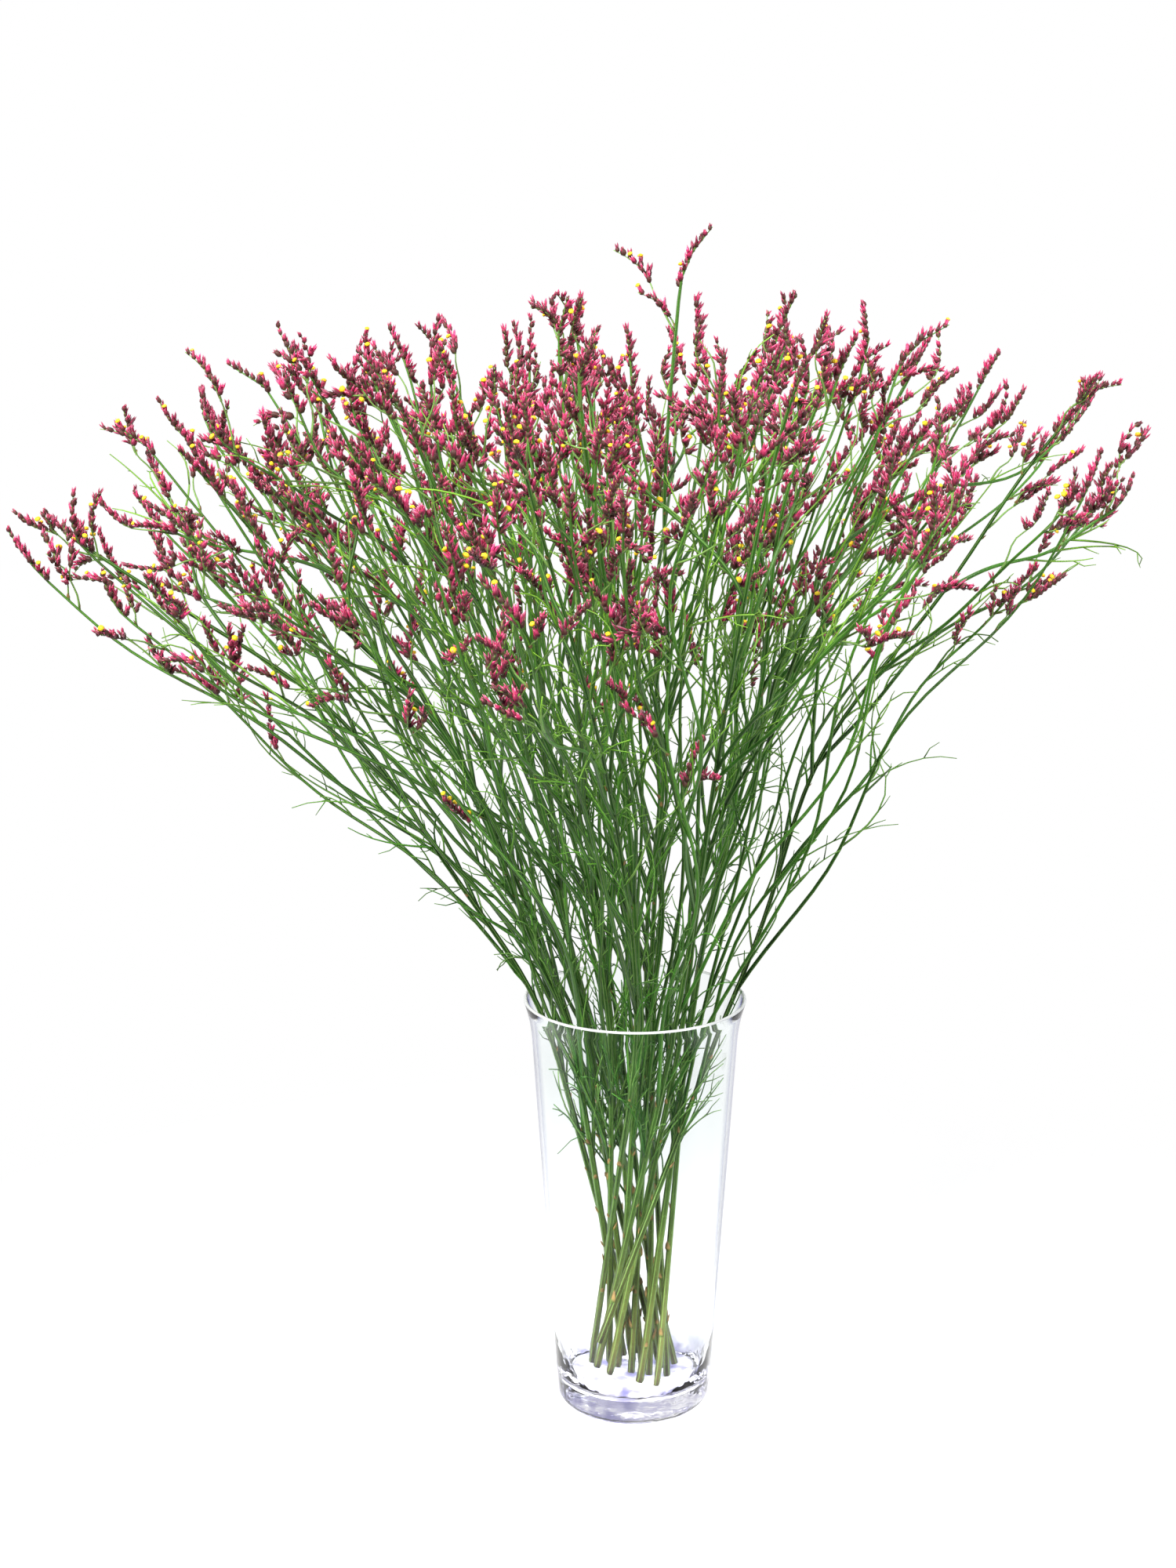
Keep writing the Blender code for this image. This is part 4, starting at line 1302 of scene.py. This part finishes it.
def stage_material(settings):
    """A matte pale floor near the vase, which fades with distance into an even white glow, so that the floor
    meets the white background without a line. As it lights the pieces and is mirrored, the part on the
    viewer's side is darker."""
    material, tree, shader = new_material(
        "pale_floor", Roughness=0.9, Specular_IOR_Level=0.0, Emission_Strength=1.0
    )
    points = object_points(tree)
    length = add_node(tree, "ShaderNodeVectorMath", {0: points}, operation="LENGTH").outputs["Value"]
    share = add_math(tree, "DIVIDE", length, FLOOR_RADII[-1])
    near, far = settings.fade_start / FLOOR_RADII[-1], settings.fade_end / FLOOR_RADII[-1]
    base = add_ramp(tree, share, ((near, settings.floor_colour), (far, BLACK)))
    glow = add_ramp(tree, share, ((near, BLACK), (far, WHITE)))
    front = (settings.front_grey,) * 3
    depth = add_math(tree, "ADD", part_of(tree, points, "Y"), 1.0)
    card = add_ramp(tree, depth, zip(FRONT_FLOOR_PLACES, (front, WHITE)))
    card = mix_colours(tree, "MIX", seen_directly(tree), card, WHITE)
    base = mix_colours(tree, "MULTIPLY", 1.0, base, card)
    colour_with(tree, shader, base, add_ramp(tree, add_noise(tree, points, scale=3.0), FLOOR_GRAIN))
    tree.links.new(mix_colours(tree, "MULTIPLY", 1.0, glow, card), shader.inputs["Emission Color"])
    return material


def colour_property(name, description, colour):
    """A colour that the user can change."""
    return bpy.props.FloatVectorProperty(
        name=name, description=description, default=colour, subtype="COLOR", size=3, min=0.0, max=1.0
    )


class VaseSettings(bpy.types.PropertyGroup):
    """What can be changed about the vase."""

    tint: colour_property("Tint", "Colour of the light that the glass lets through", rgb(249, 252, 252))
    # Painted refraction: the lilac of the noise patches in the thick base
    base_refraction_tint: colour_property("Base tint", "Colour of the patches in the thick base", rgb(150, 148, 186))
    # Partly the glass's own tint edge on, partly a painted reflection of darker side light
    edge_tint_and_reflection: colour_property("Edge tint", "Colour of glass that is seen edge on", rgb(104, 106, 168))
    ior: bpy.props.FloatProperty(
        name="IOR", description="How strongly the glass bends light", default=1.5, min=1.0, max=3.0
    )
    # The lip's painted highlight: the share of the lip that is not clear is pale and matte
    lip_clear: bpy.props.FloatProperty(
        name="Clear lip",
        description="How clear the pale lip is",
        default=0.45,
        min=0.0,
        max=1.0,
        subtype="FACTOR",
    )
    segments: bpy.props.IntProperty(
        name="Segments", description="Flat faces round the vase", default=144, min=24
    )


class StemSettings(bpy.types.PropertyGroup):
    """What can be changed about the stems, branches and twigs."""

    rib_depth: bpy.props.FloatProperty(
        name="Rib depth",
        description="Height of the ribs as a share of the radius",
        default=0.18,
        min=0.0,
        max=0.4,
        subtype="FACTOR",
    )
    cut_colour: colour_property("Cut end", "Colour at the cut", rgb(62, 56, 32))
    foot_colour: colour_property("Foot", "Colour of the oldest end", rgb(76, 80, 40))
    low_colour: colour_property("Low stem", "Colour inside the vase", rgb(50, 76, 30))
    stem_colour: colour_property("Stem", "Colour of the stems above the vase", rgb(34, 76, 24))
    branch_colour: colour_property("Branch", "Colour of the branches", rgb(58, 112, 28))
    twig_colour: colour_property("Twig", "Colour of the youngest twigs", rgb(112, 158, 44))
    # Painted highlight in part: the pale green of the rib tops, which is also the colour of the flecks
    rib_highlight_and_fleck_colour: colour_property("Rib", "Colour of the ribs and flecks", rgb(136, 172, 92))
    bract_colour: colour_property("Bract", "Colour of the papery bracts", rgb(140, 112, 66))
    bract_tip_colour: colour_property("Bract tip", "Colour of the bracts' points", rgb(100, 76, 44))


class FloretSettings(bpy.types.PropertyGroup):
    """What can be changed about the florets."""

    length: bpy.props.FloatProperty(
        name="Length",
        description="Length of a floret",
        default=0.0083,
        min=0.001,
        unit="LENGTH",
        precision=4,
    )
    width: bpy.props.FloatProperty(
        name="Width",
        description="Width of a floret",
        default=0.0035,
        min=0.0005,
        unit="LENGTH",
        precision=4,
    )
    open_share: bpy.props.FloatProperty(
        name="Open",
        description="Share of the florets that are open",
        default=0.13,
        min=0.0,
        max=1.0,
        subtype="FACTOR",
    )
    root_colour: colour_property("Root", "Colour of a floret's root", rgb(92, 110, 52))
    calyx_colour: colour_property("Calyx", "Colour of the brown calyx", rgb(80, 42, 36))
    edge_colour: colour_property("Edge", "Colour of the calyx's papery edge", rgb(150, 90, 84))
    petal_dark: colour_property("Throat", "Colour of a corolla's throat", rgb(112, 18, 52))
    petal_colour: colour_property("Petal", "Main colour of the corolla", rgb(192, 34, 92))
    petal_light: colour_property("Petal point", "Colour of the corolla's points", rgb(240, 132, 168))
    tip_colour: colour_property("Open tip", "Colour of an open floret's tip", rgb(252, 218, 32))
    tip_deep_colour: colour_property("Tip's base", "Colour where the tip starts", rgb(236, 160, 20))


class StageSettings(bpy.types.PropertyGroup):
    """What can be changed about the stage."""

    floor_colour: colour_property("Floor", "Colour of the floor", rgb(250, 250, 251))
    key_power: bpy.props.FloatProperty(
        name="Key light", description="Power of the main light", default=116.0, min=0.0, unit="POWER"
    )
    sky_strength: bpy.props.FloatProperty(
        name="Sky", description="Strength of the even light", default=1.0, min=0.0
    )
    fade_start: bpy.props.FloatProperty(
        name="Fade from", description="Where the floor starts to glow", default=0.10, min=0.0, unit="LENGTH"
    )
    fade_end: bpy.props.FloatProperty(
        name="Fade to", description="Where the floor is an even white", default=0.55, min=0.0, unit="LENGTH"
    )
    front_grey: bpy.props.FloatProperty(
        name="Front",
        description="How light the viewer's side is, for what it lights and what mirrors it",
        default=0.12,
        min=0.0,
        max=1.0,
        subtype="FACTOR",
    )
    band_colour: colour_property("Bands", "Colour of the bands at the left and right", rgb(140, 142, 180))


class DRIEDSTATICE_OT_vase(bpy.types.Operator):
    """Turn the clear glass vase."""

    bl_idname = "dried_statice.vase"
    bl_label = "Vase"

    def execute(self, context):
        settings = context.scene.statice_vase
        materials = [glass_material(settings), lip_highlight_material(settings)]
        vase = new_piece("glass_vase", vase_surface(settings.segments), materials, "glass", "vase")
        vase.visible_shadow = False
        return {"FINISHED"}


class DRIEDSTATICE_OT_stems(bpy.types.Operator):
    """Grow the green stems, branches, twigs and bracts."""

    bl_idname = "dried_statice.stems"
    bl_label = "Stems"

    def execute(self, context):
        settings = context.scene.statice_stems
        materials = [stem_material(settings), bract_material(settings)]
        for index, shoots in enumerate(plan_bunch()):
            rng = np.random.default_rng([EXTRA_SEED, index, GREEN_SEED])
            surfaces = shoot_surfaces(shoots, settings.rib_depth, rng) + hook_surfaces(shoots, rng)
            surface = join([*surfaces, bract_surface(shoots, rng)])
            node = f"statice_stem_{index + 1:02d}"
            new_piece(f"{node}_green", surface, materials, "statice", node)
        return {"FINISHED"}


class DRIEDSTATICE_OT_florets(bpy.types.Operator):
    """Set the florets along the spikes."""

    bl_idname = "dried_statice.florets"
    bl_label = "Florets"

    def execute(self, context):
        settings = context.scene.statice_florets
        materials = [calyx_material(settings), petal_material(settings), open_tip_material(settings)]
        for index, shoots in enumerate(plan_bunch()):
            rng = np.random.default_rng([EXTRA_SEED, index, FLORET_SEED])
            surface = floret_surface(shoots, settings.length, settings.width, settings.open_share, rng)
            node = f"statice_stem_{index + 1:02d}"
            new_piece(f"{node}_florets", surface, materials, "statice", node)
        return {"FINISHED"}


def add_floor(settings):
    """A round floor just under the vase: rings of points about its axis, with the innermost closed."""
    turn = 2 * math.pi * np.arange(FLOOR_SIDES) / FLOOR_SIDES
    radii = np.array(FLOOR_RADII)[:, None]
    heights = np.full((len(FLOOR_RADII), FLOOR_SIDES), -FLOOR_DROP)
    points = np.stack([radii * np.cos(turn), radii * np.sin(turn), heights], -1).reshape(-1, 3)
    quads, caps = ring_faces(len(FLOOR_RADII), FLOOR_SIDES)
    inner_cap = caps[: len(caps) // 2]
    mesh = bpy.data.meshes.new("floor")
    mesh.from_pydata(points, [], [*quads[:, ::-1].tolist(), *inner_cap[:, ::-1].tolist()])
    mesh.materials.append(stage_material(settings))
    floor = bpy.data.objects.new("floor", mesh)
    bpy.context.scene.collection.objects.link(floor)


def aim(thing, place, target):
    """Puts a light or the camera in place and turns its -Z to the target, with no roll."""
    back = unit(np.array(place) - np.array(target))
    right = unit(np.cross(UP, back))
    tilt = math.atan2(math.hypot(back[0], back[1]), back[2])
    thing.location = place
    thing.rotation_euler = (tilt, 0.0, math.atan2(right[1], right[0]))


def add_light(name, place, size, power, colour):
    """A round soft light that faces the bunch."""
    light = bpy.data.lights.new(name, "AREA")
    light.shape = "DISK"
    light.size = size
    light.energy = power
    light.color = colour
    lamp = bpy.data.objects.new(name, light)
    bpy.context.scene.collection.objects.link(lamp)
    aim(lamp, place, LIGHT_TARGET)


def add_sky(settings):
    """A sky that the camera sees white. What it lights and what the glass mirrors is white behind the bunch,
    greyer towards the viewer, and darker in bands low at the left and right."""
    world = bpy.data.worlds.new("studio")
    world.use_nodes = True
    tree = world.node_tree
    way = add_node(tree, "ShaderNodeTexCoord").outputs["Generated"]
    front = (settings.front_grey,) * 3
    half_way = add_math(tree, "MULTIPLY_ADD", part_of(tree, way, "Y"), 0.5, 0.5)
    depth = add_ramp(tree, half_way, zip(FRONT_SKY_PLACES, (front, WHITE)))
    across = add_math(tree, "ABSOLUTE", part_of(tree, way, "X"))
    band = add_ramp(tree, across, zip(BAND_PLACES, (WHITE, settings.band_colour, settings.band_colour)))
    low = add_ramp(tree, part_of(tree, way, "Z"), LOW_SKY_STOPS)
    sides = mix_colours(tree, "MULTIPLY", low, depth, band)
    colour = mix_colours(tree, "MIX", seen_directly(tree), sides, WHITE)
    background = tree.nodes["Background"]
    tree.links.new(colour, background.inputs["Color"])
    background.inputs["Strength"].default_value = settings.sky_strength
    bpy.context.scene.world = world


def add_camera():
    """The camera, in front of the bunch, a little above it and looking down."""
    camera = bpy.data.cameras.new("camera")
    camera.lens = CAMERA_LENS
    camera.sensor_width = CAMERA_SENSOR
    camera.clip_start = CAMERA_NEAREST
    holder = bpy.data.objects.new("camera", camera)
    bpy.context.scene.collection.objects.link(holder)
    aim(holder, CAMERA_PLACE, CAMERA_TARGET)
    bpy.context.scene.camera = holder


class DRIEDSTATICE_OT_stage(bpy.types.Operator):
    """Set the floor, the soft studio light and the camera."""

    bl_idname = "dried_statice.stage"
    bl_label = "Stage"

    def execute(self, context):
        settings = context.scene.statice_stage
        add_floor(settings)
        add_sky(settings)
        add_light("key", KEY_PLACE, KEY_SIZE, settings.key_power, KEY_COLOUR)
        add_light("fill", FILL_PLACE, FILL_SIZE, settings.key_power / KEY_TO_FILL, FILL_COLOUR)
        add_camera()
        context.scene.view_settings.view_transform = "Standard"
        return {"FINISHED"}


class DRIEDSTATICE_PT_panel(bpy.types.Panel):
    """The statice pieces and their settings."""

    bl_label = "Dried statice"
    bl_idname = "DRIEDSTATICE_PT_panel"
    bl_space_type = "VIEW_3D"
    bl_region_type = "UI"
    bl_category = "Statice"

    def draw(self, context):
        for operator, group in STEPS:
            box = self.layout.box()
            box.operator(operator)
            settings = getattr(context.scene, group)
            for name in settings.__annotations__:
                box.prop(settings, name)


STEPS = (
    ("dried_statice.stage", "statice_stage"),
    ("dried_statice.vase", "statice_vase"),
    ("dried_statice.stems", "statice_stems"),
    ("dried_statice.florets", "statice_florets"),
)
GROUPS = {
    "statice_vase": VaseSettings,
    "statice_stems": StemSettings,
    "statice_florets": FloretSettings,
    "statice_stage": StageSettings,
}
CLASSES = (
    *GROUPS.values(),
    DRIEDSTATICE_OT_vase,
    DRIEDSTATICE_OT_stems,
    DRIEDSTATICE_OT_florets,
    DRIEDSTATICE_OT_stage,
    DRIEDSTATICE_PT_panel,
)


def register():
    """Registers the classes and hangs each group of settings on the scene."""
    for made in CLASSES:
        bpy.utils.register_class(made)
    for name, group in GROUPS.items():
        setattr(bpy.types.Scene, name, bpy.props.PointerProperty(type=group))


def unregister():
    """Takes back what register did."""
    for name in GROUPS:
        delattr(bpy.types.Scene, name)
    for made in reversed(CLASSES):
        bpy.utils.unregister_class(made)


def main():
    """Makes the stage and the pieces."""
    register()
    bpy.ops.dried_statice.stage()
    bpy.ops.dried_statice.vase()
    bpy.ops.dried_statice.stems()
    bpy.ops.dried_statice.florets()


if __name__ == "__main__":
    main()
